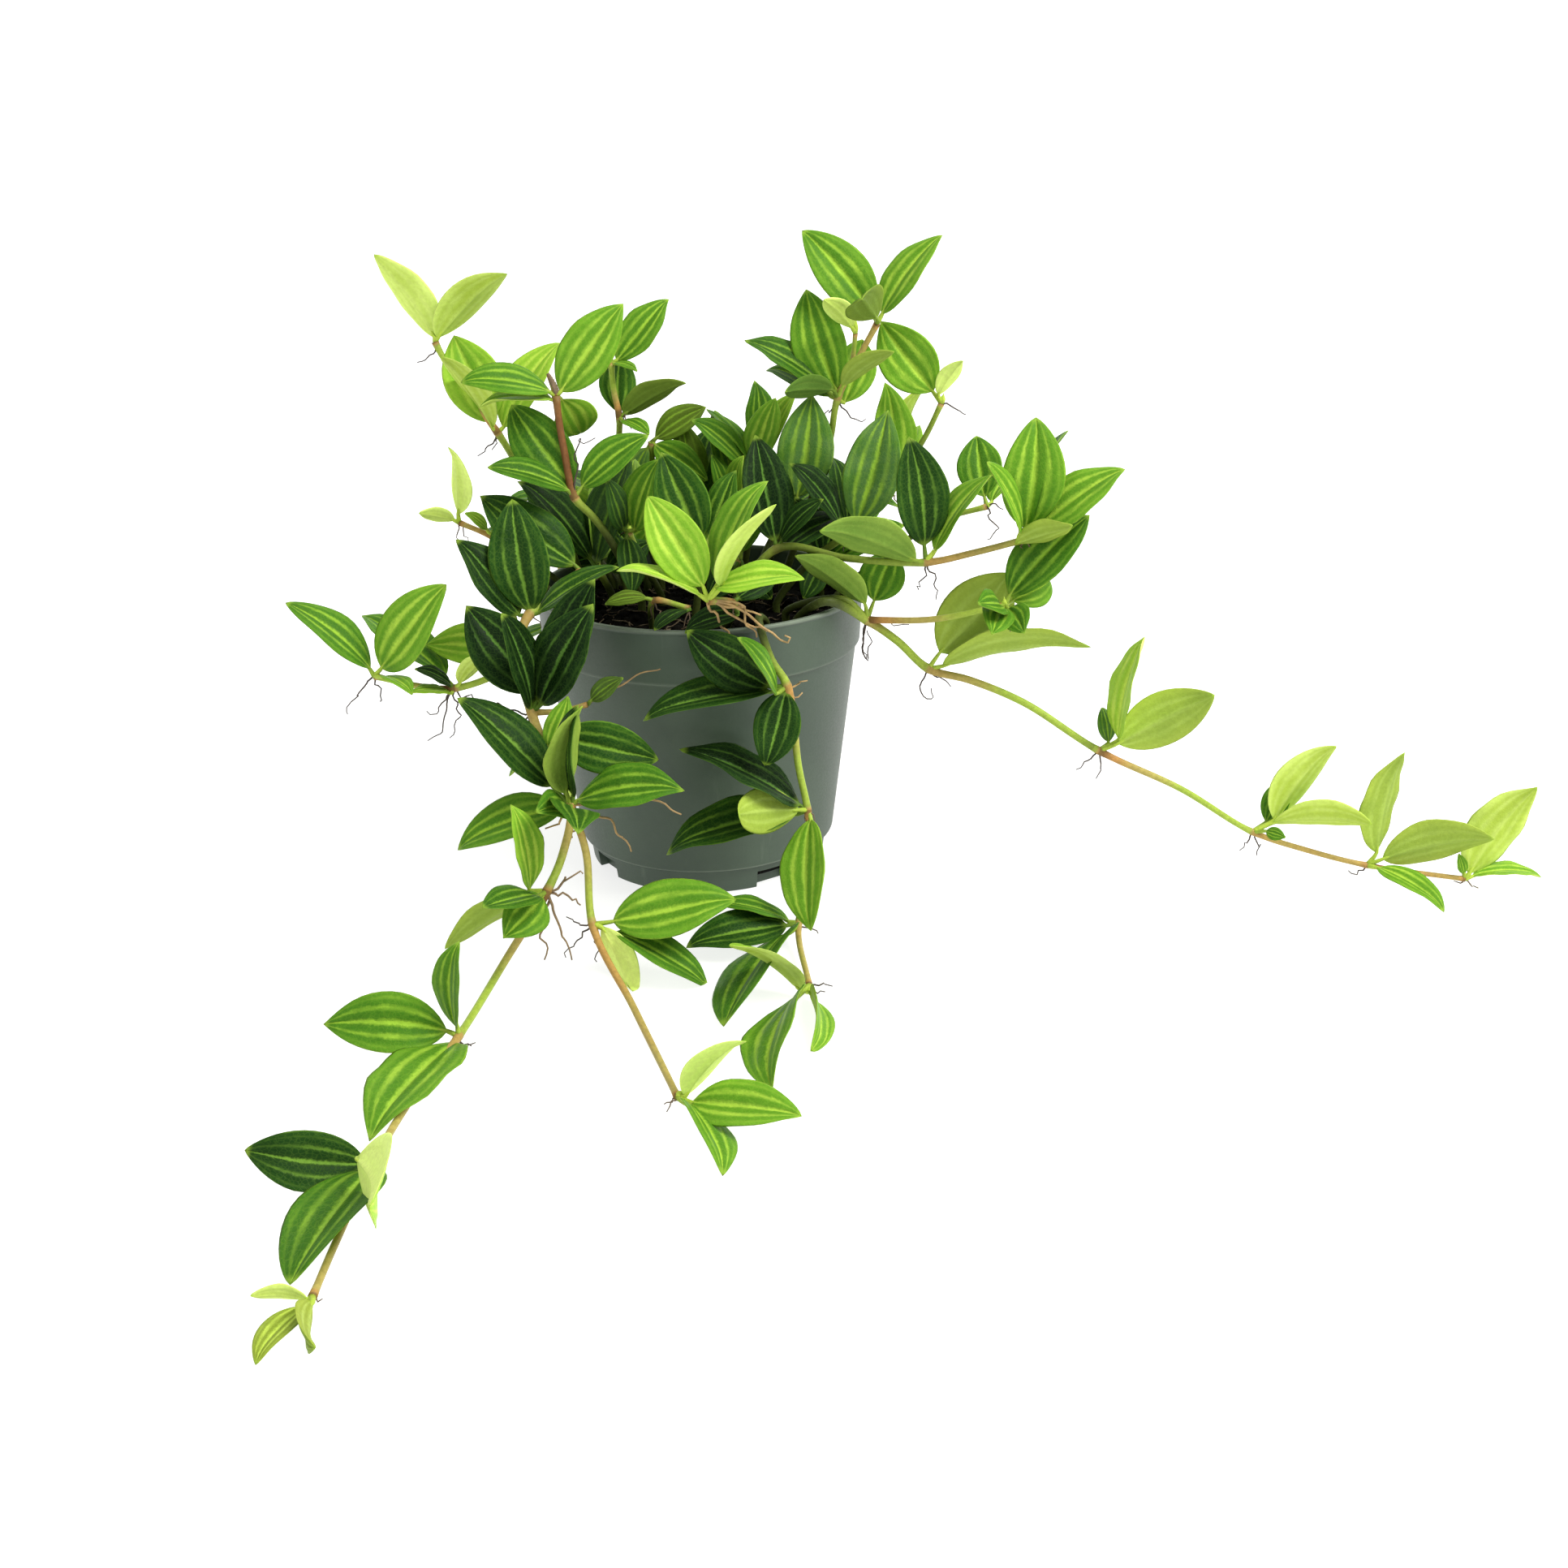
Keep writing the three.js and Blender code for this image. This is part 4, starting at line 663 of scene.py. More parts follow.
class Batch:  # many small closed forms gathered into one mesh
    def __init__(self):
        self.points, self.faces, self.materials, self.looks = [], [], [], {}

    def add(self, points, faces, material, **looks):
        start = len(self.points)
        self.points.extend(points)
        self.faces.extend([[start + i for i in face] for face in faces])
        self.materials.extend(material if isinstance(material, list) else [material] * len(faces))
        for key, values in looks.items():
            self.looks.setdefault(key, []).extend(values)

    def build(self, name, materials):
        return makeMesh(name, self.points, self.faces, materials, self.materials, self.looks)


def smoothPath(places, step):  # centripetal curve through the places, as the solids use
    places = [np.asarray(place, float) for place in places]
    if len(places) == 2:
        count = max(2, int(np.linalg.norm(places[1] - places[0]) / step))
        return [places[0] + (places[1] - places[0]) * i / count for i in range(count + 1)], [0, count]
    ends = [2 * places[0] - places[1], *places, 2 * places[-1] - places[-2]]
    path, marks = [places[0]], [0]
    for i in range(len(places) - 1):
        a, b, c, d = ends[i:i + 4]
        gaps = [max(np.linalg.norm(q - p) ** 0.5, 1e-4) for p, q in ((a, b), (b, c), (c, d))]
        slopeB = ((b - a) / gaps[0] - (c - a) / (gaps[0] + gaps[1]) + (c - b) / gaps[1]) * gaps[1]
        slopeC = ((c - b) / gaps[1] - (d - b) / (gaps[1] + gaps[2]) + (d - c) / gaps[2]) * gaps[1]
        count = max(1, int(round(np.linalg.norm(c - b) / step)))
        for j in range(1, count + 1):
            t = j / count
            path.append(b * (2 * t**3 - 3 * t**2 + 1) + c * (3 * t**2 - 2 * t**3)
                        + slopeB * (t**3 - 2 * t**2 + t) + slopeC * (t**3 - t**2))
        marks.append(len(path) - 1)
    return path, marks


def tube(path, radii, sides):  # closed at both ends
    path = np.asarray(path)
    along = np.gradient(path, axis=0)
    along /= np.linalg.norm(along, axis=1)[:, None]
    aside = unit(np.cross(along[0], [0.31, 0.22, 0.12]))
    points = []
    for middle, heading, radius in zip(path, along, radii):
        aside = unit(aside - heading * (aside @ heading))
        third = np.cross(heading, aside)
        for k in range(sides):
            angle = 2 * math.pi * k / sides
            points.append(middle + radius * (aside * math.cos(angle) + third * math.sin(angle)))
    faces = []
    for i in range(len(path) - 1):
        for k in range(sides):
            a, b = i * sides + k, i * sides + (k + 1) % sides
            faces.append([a, b, b + sides, a + sides])
    faces.append(list(range(sides))[::-1])
    faces.append(list(range((len(path) - 1) * sides, len(path) * sides)))
    return points, faces


def clearOfFloor(points):
    for point in points:
        point[2] = max(point[2], leafSizes["lowest"])


def seenLeaf(joint, row, swing):
    baseX, baseY, tipX, tipY, seenWidth, side, reach = row
    lies = isinstance(reach, tuple)
    tip = low(tipX, tipY, reach[1] + abs(swing)) if lies else seen(tipX, tipY, joint[1] - reach - swing)
    stalkSeen = np.linalg.norm(np.array([baseX, baseY]) - spotOf(joint))
    share = stalkSeen / (stalkSeen + math.hypot(tipX - baseX, tipY - baseY))
    base = seen(baseX, baseY, joint[1] + (tip[1] - joint[1]) * share)
    base[2] = max(base[2], leafSizes["lowest"] + leafSizes["stalkThick"])
    axis = tip - base
    long = np.linalg.norm(axis)
    axis /= long
    view = sightEye - base - axis * long / 2
    shown = seenWidth * np.linalg.norm(view) / sight["focal"]
    width = max(leafSizes["widthShare"] * long, shown)
    roll = math.acos(min(1, shown / width))
    facing = unit(view - axis * (view @ axis))
    aside = np.cross(axis, facing)
    turns = [(facing * math.cos(roll) + sign * aside * math.sin(roll)) * side for sign in (1, -1)]
    normal = turns[0] if turns[0][2] > turns[1][2] else turns[1]
    return {"joint": joint, "base": base, "tip": tip, "width": width, "normal": normal}


def fanLeaf(joint, heading, index, count, length, swing):
    turn = ((index + 0.5) / count - 0.5) * backStem["fan"]
    direction = unit(at(
        heading[0] * math.cos(turn) - heading[1] * math.sin(turn),
        heading[0] * math.sin(turn) + heading[1] * math.cos(turn),
        heading[2] + backStem["rise"] + swing * 0.035,
    ))
    normal = np.cross(unit(np.cross(direction, [0, 0, 1])), direction)
    base, tip = joint + direction * backStem["stalk"], joint + direction * (length + backStem["stalk"])
    width = leafSizes["widthShare"] * length
    return {"joint": joint, "base": base, "tip": tip, "width": width, "normal": normal}


def settledLeaf(make, corners):  # the solid's leaf was bent clear by one of the swings: find which
    best, gap = None, 1e9
    for swing in leafSizes["swings"]:
        leaf = make(swing)
        edge = leaf["tip"] + leaf["normal"] * leafSizes["thick"] / 2
        edge[2] = max(edge[2], leafSizes["lowest"] + leafSizes["thick"])
        miss = np.min(np.linalg.norm(corners - edge, axis=1))
        if miss < gap - 1e-3:
            best, gap = leaf, miss
    if gap > 0.6:
        print("leaf not found in its solid", np.round(best["tip"], 1), round(float(gap), 2))
    return best


# How each blade differs from the next: a middle value and the most that is added or taken away
leafForm = {
    "bow": (0, 0.04), "twist": (0, 0.16), "recurve": (0.028, 0.04), "wave": (0.0168, 0.012),
    "waves": (2.2, 1), "phase": (0, math.pi), "curl": (0.05, 0.04), "draw": (0.5, 0.5),
}
leafTip = {"point": 0.16, "pointSpread": 0.14, "recurveFrom": 0.75}
leafVeinForm = {
    "places": [0, 0.46, 0.8], "depths": [0.3, 0.13, 0.08], "halfWidths": [0.075, 0.1, 0.09], "pillow": 0.22,
}
halfBlade = [0.08, 0.23, 0.42, 0.62, 0.79, 0.93, 1]
bladeColumns = np.array([-place for place in halfBlade[::-1]] + [0] + halfBlade)
bladeRows = 18


def outline(share, point):
    full = (4 * share * (1 - share)) ** (0.7 + point * share**3)
    return full * (1.14 - 0.26 * share) * (1 - 0.1 * share**4)


def tidyFace(face):  # without doubled corners, or nothing if too few are left
    kept = [n for i, n in enumerate(face) if n not in face[:i]]
    return kept if len(kept) > 2 else None


def veinRelief(across):  # pillows between the sunken veins
    relief = leafVeinForm["pillow"] * abs(math.sin(math.pi * min(across / 0.8, 1.15)))
    for place, depth, width in zip(*(leafVeinForm[key] for key in ("places", "depths", "halfWidths"))):
        relief -= depth * math.exp(-((across - place) / width) ** 2)
    return relief


def addLeaf(batch, leaf, tone):
    axis = leaf["tip"] - leaf["base"]
    long = np.linalg.norm(axis)
    axis = axis / long
    normal = leaf["normal"]
    across = np.cross(axis, normal)
    draws = dict(zip(leafForm, rng.uniform(-1, 1, len(leafForm))))
    form = {key: middle + spread * draws[key] for key, (middle, spread) in leafForm.items()}
    point = leafTip["point"] + leafTip["pointSpread"] * draws["wave"]
    relief = min(1.2, leaf["width"] / 16)
    columns = len(bladeColumns)
    points, looks, upper, lower = [], [], [], []

    def keep(place, look, lift=0):
        place[2] = max(place[2], leafSizes["lowest"] + lift)
        points.append(place)
        looks.append(look)
        return len(points) - 1

    for i in range(bladeRows):
        share = i / (bladeRows - 1)
        share = 0.35 * share + 0.65 * (0.5 - 0.5 * math.cos(math.pi * share))
        half = max(leaf["width"] / 2 * outline(share, point), 0.5)
        turn = form["twist"] * (2 * share - 1)
        side = across * math.cos(turn) + normal * math.sin(turn)
        rise = normal * math.cos(turn) - across * math.sin(turn)
        hump = 4 * share * (1 - share)
        sag = max(0, (share - leafTip["recurveFrom"]) / (1 - leafTip["recurveFrom"])) ** 2
        middle = leaf["base"] + axis * share * long + side * form["bow"] * long * hump
        middle = middle + rise * (leafSizes["arch"] * hump - form["recurve"] * sag) * long
        if i == bladeRows - 1:
            tip = keep(middle, (1, 0, form["draw"]))
            upper.append([tip] * columns)
            lower.append([tip] * columns)
            break
        upper.append([])
        lower.append([])
        for v in bladeColumns:
            wide = abs(v)
            lift = leafSizes["fold"] * half * wide**1.25 - form["curl"] * half * v**4
            ripple = form["waves"] * 2 * math.pi * share + form["phase"] * (1 if v > 0 else 1.7)
            lift += form["wave"] * leaf["width"] * wide**3 * math.sin(ripple)
            lift += veinRelief(wide) * relief * min(1, 3 * hump)
            place = middle + side * v * half + rise * lift
            look = (share, v, form["draw"])
            if wide == 1:  # the two faces meet at the margin
                number = keep(place, look)
                upper[-1].append(number)
                lower[-1].append(number)
                continue
            thick = leafSizes["thick"] / 2 * (0.95 - 0.95 * wide**5) * min(1, 0.3 + 2 * hump)
            upper[-1].append(keep(place + rise * thick, look, thick if rise[2] > 0 else 0))
            keel = thick * (1 + 0.5 * math.exp(-(v / 0.1) ** 2))
            lower[-1].append(keep(place - rise * keel, look, 0 if rise[2] > 0 else thick))
    faces, kinds = [], []
    for i in range(bladeRows - 1):
        for k in range(columns - 1):
            for kind, grid in enumerate((upper, lower)):
                face = tidyFace([grid[i][k], grid[i][k + 1], grid[i + 1][k + 1], grid[i + 1][k]])
                if face:
                    faces.append(face[::-1] if kind else face)
                    kinds.append(kind)
    for k in range(columns - 1):  # the blade's end on its stalk
        faces.append(tidyFace([upper[0][k + 1], upper[0][k], lower[0][k], lower[0][k + 1]]))
        kinds.append(1)
    batch.add(points, faces, kinds, blade=looks, tone=[tone] * len(points))


stemSizes = {"sides": 10, "step": 2.4, "slim": 0.94, "knotSwell": 0.22, "knotReach": 2.2}


def addStem(batch, shoot, places, isJoint, inSoil, ripening):
    path, marks = smoothPath(places, stemSizes["step"])
    path = np.array(path)
    lengths = np.concatenate([[0], np.cumsum(np.linalg.norm(np.diff(path, axis=0), axis=1))])
    radii = np.interp(lengths, [0, lengths[-1]], [thick / 2 for thick in shoot])
    knots = [lengths[mark] for mark, joint in zip(marks, isJoint) if joint]
    closeness = np.zeros(len(path))
    for knot in knots:
        closeness = np.maximum(closeness, np.exp(-((lengths - knot) / stemSizes["knotReach"]) ** 2))
    radii = radii * (stemSizes["slim"] + stemSizes["knotSwell"] * closeness)
    bounds = [0, *knots, lengths[-1]]
    ripeness = np.interp(lengths, bounds, range(len(bounds)))
    stretch = ripeness % 1
    for i, (least, span) in enumerate(ripening):
        beyond = (ripeness >= i + 1) & (ripeness < i + 2)
        stretch[beyond] = least + span * stretch[beyond]
    if inSoil:
        first = lengths < (knots[0] if knots else lengths[-1])
        stretch[first] = 2 - stretch[first]
    points, faces = tube(path, radii, stemSizes["sides"])
    clearOfFloor(points)
    draw = rng.random()
    looks = [(stretch[i], closeness[i], draw) for i in range(len(path)) for _ in range(stemSizes["sides"])]
    batch.add(points, faces, 0, stalk=looks)


stalkSizes = {"sides": 8, "step": 1.6, "radius": 0.72, "swell": 1.15, "taper": 0.75, "intoBlade": 0.1}


def addStalk(batch, leaf, tone):
    blade = leaf["tip"] - leaf["base"]
    end = leaf["base"] + blade * stalkSizes["intoBlade"]
    end = end + leaf["normal"] * leafSizes["arch"] * np.linalg.norm(blade) * 0.3
    path, _ = smoothPath([leaf["joint"], leaf["base"] - leaf["normal"] * 0.15, end], stalkSizes["step"])
    shares = np.linspace(0, 1, len(path))
    radii = stalkSizes["radius"] * (stalkSizes["swell"] - stalkSizes["taper"] * shares**1.5)
    points, faces = tube(path, radii, stalkSizes["sides"])
    clearOfFloor(points)
    batch.add(points, faces, 0, stalk=[(0.35 + 0.65 * tone[0], 0, 2 + rng.random())] * len(points))


budSizes = {"sides": 10, "step": 0.7, "radius": 1.1, "waver": 0.2}


def addBud(batch, joint, tip):  # a young shoot, still closed
    bend = (joint + tip) / 2 + rng.normal(0, budSizes["waver"], 3)
    path, _ = smoothPath([joint, bend, tip], budSizes["step"])
    shares = np.linspace(0, 1, len(path))
    radii = 0.35 + 0.65 * np.sin(math.pi * np.minimum(1, shares * 1.15 + 0.12)) ** 0.8
    radii = budSizes["radius"] * radii * (1.02 - shares) ** 0.35
    points, faces = tube(path, radii, budSizes["sides"])
    clearOfFloor(points)
    batch.add(points, faces, 0, stalk=[(0.95, 0, 2.5)] * len(points))


spikeSizes = {"sides": 14, "step": 0.3, "radius": 1.0, "knobs": 3, "knobSize": 0.22}


def addSpike(batch, places):  # a dark flower spike, knobbly with tiny flowers
    sides = spikeSizes["sides"]
    path, _ = smoothPath(places, spikeSizes["step"])
    shares = np.linspace(0, 1, len(path))
    radii = spikeSizes["radius"] * (0.55 + 0.45 * np.minimum(1, shares * 5)) * (1 - 0.5 * shares**3)
    points, faces = tube(path, radii, sides)
    rings = np.array(points).reshape(len(path), sides, 3)
    around = np.arange(sides) * 2 * math.pi * spikeSizes["knobs"] / sides
    for i, ring in enumerate(rings):
        swell = 1 + spikeSizes["knobSize"] * np.sin(around + i * 1.1) * math.cos(i * 0.9)
        rings[i] = ring.mean(axis=0) + (ring - ring.mean(axis=0)) * swell[:, None]
    batch.add(list(rings.reshape(-1, 3)), faces, 1, stalk=[(0, 0, 0.72)] * len(points))


# Roots under a joint: radius, and age from 0, tan and fresh, to 1, thin and dark
rootLooks = {
    "V": (0.55, 0.0), "V0": (0.5, 0.1), "K": (0.5, 0.1), "I": (0.42, 0.25), "S1": (0.4, 0.1),
    "L": (0.48, 0.6), "other": (0.33, 1.0),
}
rootlets = {"count": 2, "reach": 7, "look": (0.28, 0.8), "sag": 0.25, "waver": 0.4, "highest": 150}


def addRoot(batch, places, look, waver):
    radius, age = look
    path, _ = smoothPath(places, 1.3)
    path = np.array(path)
    shares = np.linspace(0, 1, len(path))
    for _ in range(3):
        push, turns, phase = rng.normal(0, waver, 3), rng.uniform(1, 3.5), rng.uniform(0, 6.28)
        path = path + np.outer(np.sin(shares * turns * 6.28 + phase) * np.minimum(1, shares * 3), push)
    path[:, 2] = np.maximum(path[:, 2], leafSizes["lowest"] + radius)
    points, faces = tube(path, radius * (1 - 0.5 * shares), 5)
    batch.add(points, faces, 1, stalk=[(0, 0, age)] * len(points))


def addRootlets(batch, joint):
    for _ in range(rootlets["count"]):
        out = unit(at(*rng.uniform(-1, 1, 2), rng.uniform(-1.2, -0.2)))
        long = rootlets["reach"] * rng.uniform(0.5, 1)
        end = joint + out * long - at(0, 0, rootlets["sag"] * long)
        addRoot(batch, [joint, joint + out * long * 0.5, end], rootlets["look"], rootlets["waver"])


def newMaterial(name):
    material = bpy.data.materials.new(name)
    material.use_nodes = True
    tree = material.node_tree
    tree.nodes.clear()
    output = tree.nodes.new("ShaderNodeOutputMaterial")
    shader = tree.nodes.new("ShaderNodeBsdfPrincipled")
    tree.links.new(shader.outputs["BSDF"], output.inputs["Surface"])
    return material, tree, shader


def fill(tree, made, inputs):
    for key, value in inputs.items():
        if isinstance(value, bpy.types.NodeSocket):
            tree.links.new(value, made.inputs[key])
        else:
            made.inputs[key].default_value = value


def node(tree, kind, inputs, **settings):
    made = tree.nodes.new("ShaderNode" + kind)
    for key, value in settings.items():
        setattr(made, key, value)
    fill(tree, made, inputs)
    return made


def maths(tree, operation, *values, clamp=False):
    return node(tree, "Math", dict(enumerate(values)), operation=operation, use_clamp=clamp).outputs[0]


def times(tree, a, b):
    return maths(tree, "MULTIPLY", a, b)


def about(tree, value, spread):  # a noise from 0 to 1 turned into one about 0
    return times(tree, maths(tree, "SUBTRACT", value, 0.5), spread)


def noise(tree, place, scale, detail=2.0, roughness=0.5):
    return node(tree, "TexNoise", {
        "Vector": place, "Scale": scale, "Detail": detail, "Roughness": roughness}).outputs["Fac"]


def mixed(tree, factor, a, b, blend="MIX"):
    a, b = [(*value, 1) if isinstance(value, tuple) else value for value in (a, b)]
    return node(tree, "Mix", {0: factor, 6: a, 7: b}, data_type="RGBA", blend_type=blend).outputs[2]


def ramp(tree, factor, stops, smooth=True):
    made = node(tree, "ValToRGB", {"Fac": factor})
    made.color_ramp.interpolation = "EASE" if smooth else "LINEAR"
    elements = made.color_ramp.elements
    while len(elements) < len(stops):
        elements.new(0.5)
    for element, (place, color) in zip(elements, stops):
        element.position = place
        element.color = (*color, 1) if isinstance(color, tuple) else (color, color, color, 1)
    return made.outputs["Color"]


def partsOf(tree, name):  # the three numbers of an attribute
    attribute = node(tree, "Attribute", {}, attribute_name=name, attribute_type="GEOMETRY")
    return node(tree, "SeparateXYZ", {0: attribute.outputs["Vector"]}).outputs


def placeIn(tree):
    return node(tree, "TexCoord", {}).outputs["Object"]


def bumped(tree, height, strength, distance, under=None):
    inputs = {"Height": height, "Strength": strength, "Distance": distance}
    return node(tree, "Bump", inputs | ({"Normal": under} if under else {})).outputs[0]


def newGroup(name, inputs, outputs):
    group = bpy.data.node_groups.new(name, "ShaderNodeTree")
    for label, kind, value in inputs:
        socket = group.interface.new_socket(name=label, in_out="INPUT", socket_type="NodeSocket" + kind)
        if value is not None:
            socket.default_value = value
    for label, kind in outputs:
        group.interface.new_socket(name=label, in_out="OUTPUT", socket_type="NodeSocket" + kind)
    return group, group.nodes.new("NodeGroupInput").outputs, group.nodes.new("NodeGroupOutput")


def makeSpeckle():  # fine darker specks over a colour
    group, given, result = newGroup(
        "speckle",
        [("Color", "Color", None), ("Place", "Vector", None), ("Scale", "Float", 700.0),
         ("Detail", "Float", 3.0), ("Roughness", "Float", 0.5), ("From", "Float", 0.35),
         ("To", "Float", 0.65), ("Darkest", "Float", 0.6), ("Share", "Float", 0.5)],
        [("Color", "Color"), ("Specks", "Float")],
    )
    specks = noise(group, given["Place"], given["Scale"], given["Detail"], given["Roughness"])
    shade = node(group, "MapRange", {
        "Value": specks, "From Min": given["From"], "From Max": given["To"], "To Min": given["Darkest"],
        "To Max": 1.0}, interpolation_type="SMOOTHSTEP").outputs["Result"]
    color = mixed(group, given["Share"], given["Color"], shade, blend="MULTIPLY")
    fill(group, result, {"Color": color, "Specks": specks})
    return group


speckle = makeSpeckle()

# Lengthwise veins: a broad soft line along the middle, a weaker one and a faint one on each side, which waver
# and fade in places, a pale margin, and a faint net between them
veinLook = {
    "places": (0, 0.46, 0.8), "strengths": (1, 1, 0.3), "widths": (1, 0.9, 0.55), "margin": 0.4, "fuzz": 0.13,
    "net": 0.13, "netScale": (26.0, 8.0), "netHeight": 0.25,
}


def makeVeins():
    group, given, result = newGroup(
        "leafVeins",
        [("Blade", "Vector", None), ("Waver", "Float", 0.03), ("Width", "Float", 0.07),
         ("Sides", "Float", 0.8)],
        [(label, "Float") for label in ("Lines", "Halo", "Height", "Along", "Across", "Draw")],
    )
    look = veinLook
    along, across, draw = node(group, "SeparateXYZ", {0: given["Blade"]}).outputs

    def spread(alongScale, acrossScale):  # where to look in a noise, with another part of it for each leaf
        return node(group, "CombineXYZ", {
            0: times(group, along, alongScale), 1: times(group, across, acrossScale),
            2: times(group, draw, 40.0)}).outputs[0]

    shift = about(group, noise(group, spread(5.0, 2.5), 1.2), given["Waver"])
    fuzz = about(group, noise(group, spread(42.0, 9.0), 1.0), look["fuzz"])
    wide = maths(group, "ABSOLUTE", maths(group, "ADD", across, shift))
    narrowing = ramp(group, along, [(0, 1.0), (0.3, 1.0), (1, 0.6)], smooth=False)
    narrowing = times(group, given["Width"], narrowing)
    # side veins come and go, and are weaker towards both ends
    patchy = ramp(group, noise(group, spread(4.0, 3.2), 1.0), [(0.34, 0.4), (0.6, 1.0)])
    fading = times(group, patchy, ramp(group, along, [(0, 0.6), (0.15, 1.0), (0.75, 1.0), (1, 0.5)]))
    fading = times(group, fading, given["Sides"])
    lines = ramp(group, wide, [(0.94, 0.0), (0.985, look["margin"])])
    for place, strength, width in zip(look["places"], look["strengths"], look["widths"]):
        distance = maths(group, "ADD", maths(group, "ABSOLUTE", maths(group, "SUBTRACT", wide, place)), fuzz)
        reach = maths(group, "DIVIDE", distance, times(group, narrowing, 2 * width))
        line = ramp(group, reach, [(0.28, strength), (0.55, strength * 0.5), (1, 0.0)])
        if place:
            line = times(group, line, fading)
        lines = maths(group, "MAXIMUM", lines, line)
    net = {"Vector": spread(*look["netScale"]), "Scale": 1.0}
    edges = node(group, "TexVoronoi", net, feature="DISTANCE_TO_EDGE").outputs["Distance"]
    cells = ramp(group, edges, [(0, 0.0), (0.12, 1.0)])
    height = maths(group, "SUBTRACT", times(group, cells, look["netHeight"]), lines)
    lines = maths(group, "MAXIMUM", lines, times(group, maths(group, "SUBTRACT", 1.0, cells), look["net"]))
    halo = ramp(group, wide, [
        (0, 0.8), (0.16, 0.25), (0.26, 0.0), (0.46, 0.6), (0.64, 0.0), (0.8, 0.25), (0.92, 0.1)])
    fill(group, result, {
        "Lines": lines, "Halo": halo, "Height": height, "Along": along, "Across": across, "Draw": draw})
    return group


leafVeins = makeVeins()

# Colours from old to young, in shares of the age
# The bluish-grey colour mixed over the leaves is a painted sheen of reflected light
leafColors = {
    "olive": (0.19, 0.205, 0.026), "paintedSheen": (0.11, 0.185, 0.085), "tip": (0.36, 0.55, 0.06),
    "top": {
        "body": [(0, (0.0020, 0.0115, 0.0016)), (0.25, (0.013, 0.058, 0.005)), (0.5, (0.052, 0.168, 0.010)),
                 (0.75, (0.130, 0.315, 0.018)), (1, (0.34, 0.59, 0.045))],
        "line": [(0, (0.105, 0.235, 0.035)), (0.5, (0.33, 0.55, 0.045)), (1, (0.60, 0.78, 0.11))],
        "lineShare": 0.92, "halo": 0.05, "roughness": (0.36, 0.5), "bump": 0.4, "shine": 0.055,
    },
    "under": {
        # the youngest underside colour is partly the leaf's own pale green and partly a painted highlight,
        # lifted to stand in for floor light
        "body": [(0, (0.04, 0.10, 0.014)), (0.4, (0.135, 0.255, 0.033)), (0.62, (0.29, 0.43, 0.062)),
                 (0.82, (0.42, 0.57, 0.07)), (1, (0.76, 0.95, 0.23))],
        "line": [(0, (0.10, 0.19, 0.03)), (0.5, (0.31, 0.46, 0.075)), (1, (0.74, 0.88, 0.24))],
        "lineShare": 0.45, "halo": 0.0, "roughness": (0.5, 0.6), "bump": 0.25, "shine": 0.04,
    },
}
# How wide the light veins are on an old leaf, how much wider on a young one, and the same for their strength
veinGrowth = {"width": (0.052, 0.062), "sides": (0.55, 0.42)}
veinWaver = 0.12


def makeLeafMaterial(name, look):
    material, tree, shader = newMaterial(name)
    blade = node(tree, "Attribute", {}, attribute_name="blade", attribute_type="GEOMETRY").outputs["Vector"]
    age, paintedSheen, olive = partsOf(tree, "tone")
    width, sides = [maths(tree, "MULTIPLY_ADD", age, more, least) for least, more in veinGrowth.values()]
    marks = node(tree, "Group", {"Blade": blade, "Waver": veinWaver, "Width": width, "Sides": sides},
                 node_tree=leafVeins).outputs
    place = placeIn(tree)
    cloud = noise(tree, place, 90.0, 3.0, 0.6)
    # each leaf is a little older or younger than its tone, and its margin is younger than its middle
    age = maths(tree, "ADD", age, about(tree, marks["Draw"], 0.1))
    age = maths(tree, "ADD", age, about(tree, cloud, 0.2))
    edge = ramp(tree, maths(tree, "ABSOLUTE", marks["Across"]), [(0.1, 0.0), (0.55, 0.25), (1, 1.0)])
    age = maths(tree, "ADD", age, times(tree, edge, 0.11), clamp=True)
    lineColor = ramp(tree, age, look["line"], smooth=False)
    body = ramp(tree, age, look["body"], smooth=False)
    color = mixed(tree, times(tree, olive, 0.6), body, leafColors["olive"])
    # a painted bluish sheen, laid over the colour in cloudy patches by the tone's sheen share
    paintedSheenShare = times(tree, paintedSheen, ramp(tree, cloud, [(0.3, 0.2), (0.65, 0.7)]))
    color = mixed(tree, paintedSheenShare, color, leafColors["paintedSheen"])
    halo = times(tree, marks["Halo"], maths(tree, "MULTIPLY_ADD", age, 0.15, look["halo"]))
    color = mixed(tree, halo, color, lineColor)
    lines = times(tree, marks["Lines"], look["lineShare"])
    lines = times(tree, lines, ramp(tree, cloud, [(0.3, 0.72), (0.7, 1.0)]))
    color = mixed(tree, lines, color, lineColor)
    tipShare = ramp(tree, marks["Along"], [(0, 0.4), (0.08, 0.0), (0.93, 0.0), (0.985, 0.5), (1, 0.8)])
    color = mixed(tree, tipShare, color, leafColors["tip"])
    specks = node(tree, "Group", {
        "Color": color, "Place": place, "Scale": 900.0, "Detail": 2.0, "Roughness": 0.5, "From": 0.3,
        "To": 0.7, "Darkest": 0.72, "Share": 0.35}, node_tree=speckle).outputs
    bump = bumped(tree, marks["Height"], look["bump"], 0.0004)
    fill(tree, shader, {
        "Base Color": specks["Color"],
        "Roughness": ramp(tree, cloud, list(zip((0.3, 0.7), look["roughness"]))),
        "Normal": bumped(tree, specks["Specks"], 0.18, 0.0002, bump),
        "Specular IOR Level": look["shine"],
    })
    return material


leafTop = makeLeafMaterial("leafTop", leafColors["top"])
leafUnderside = makeLeafMaterial("leafUnderside", leafColors["under"])

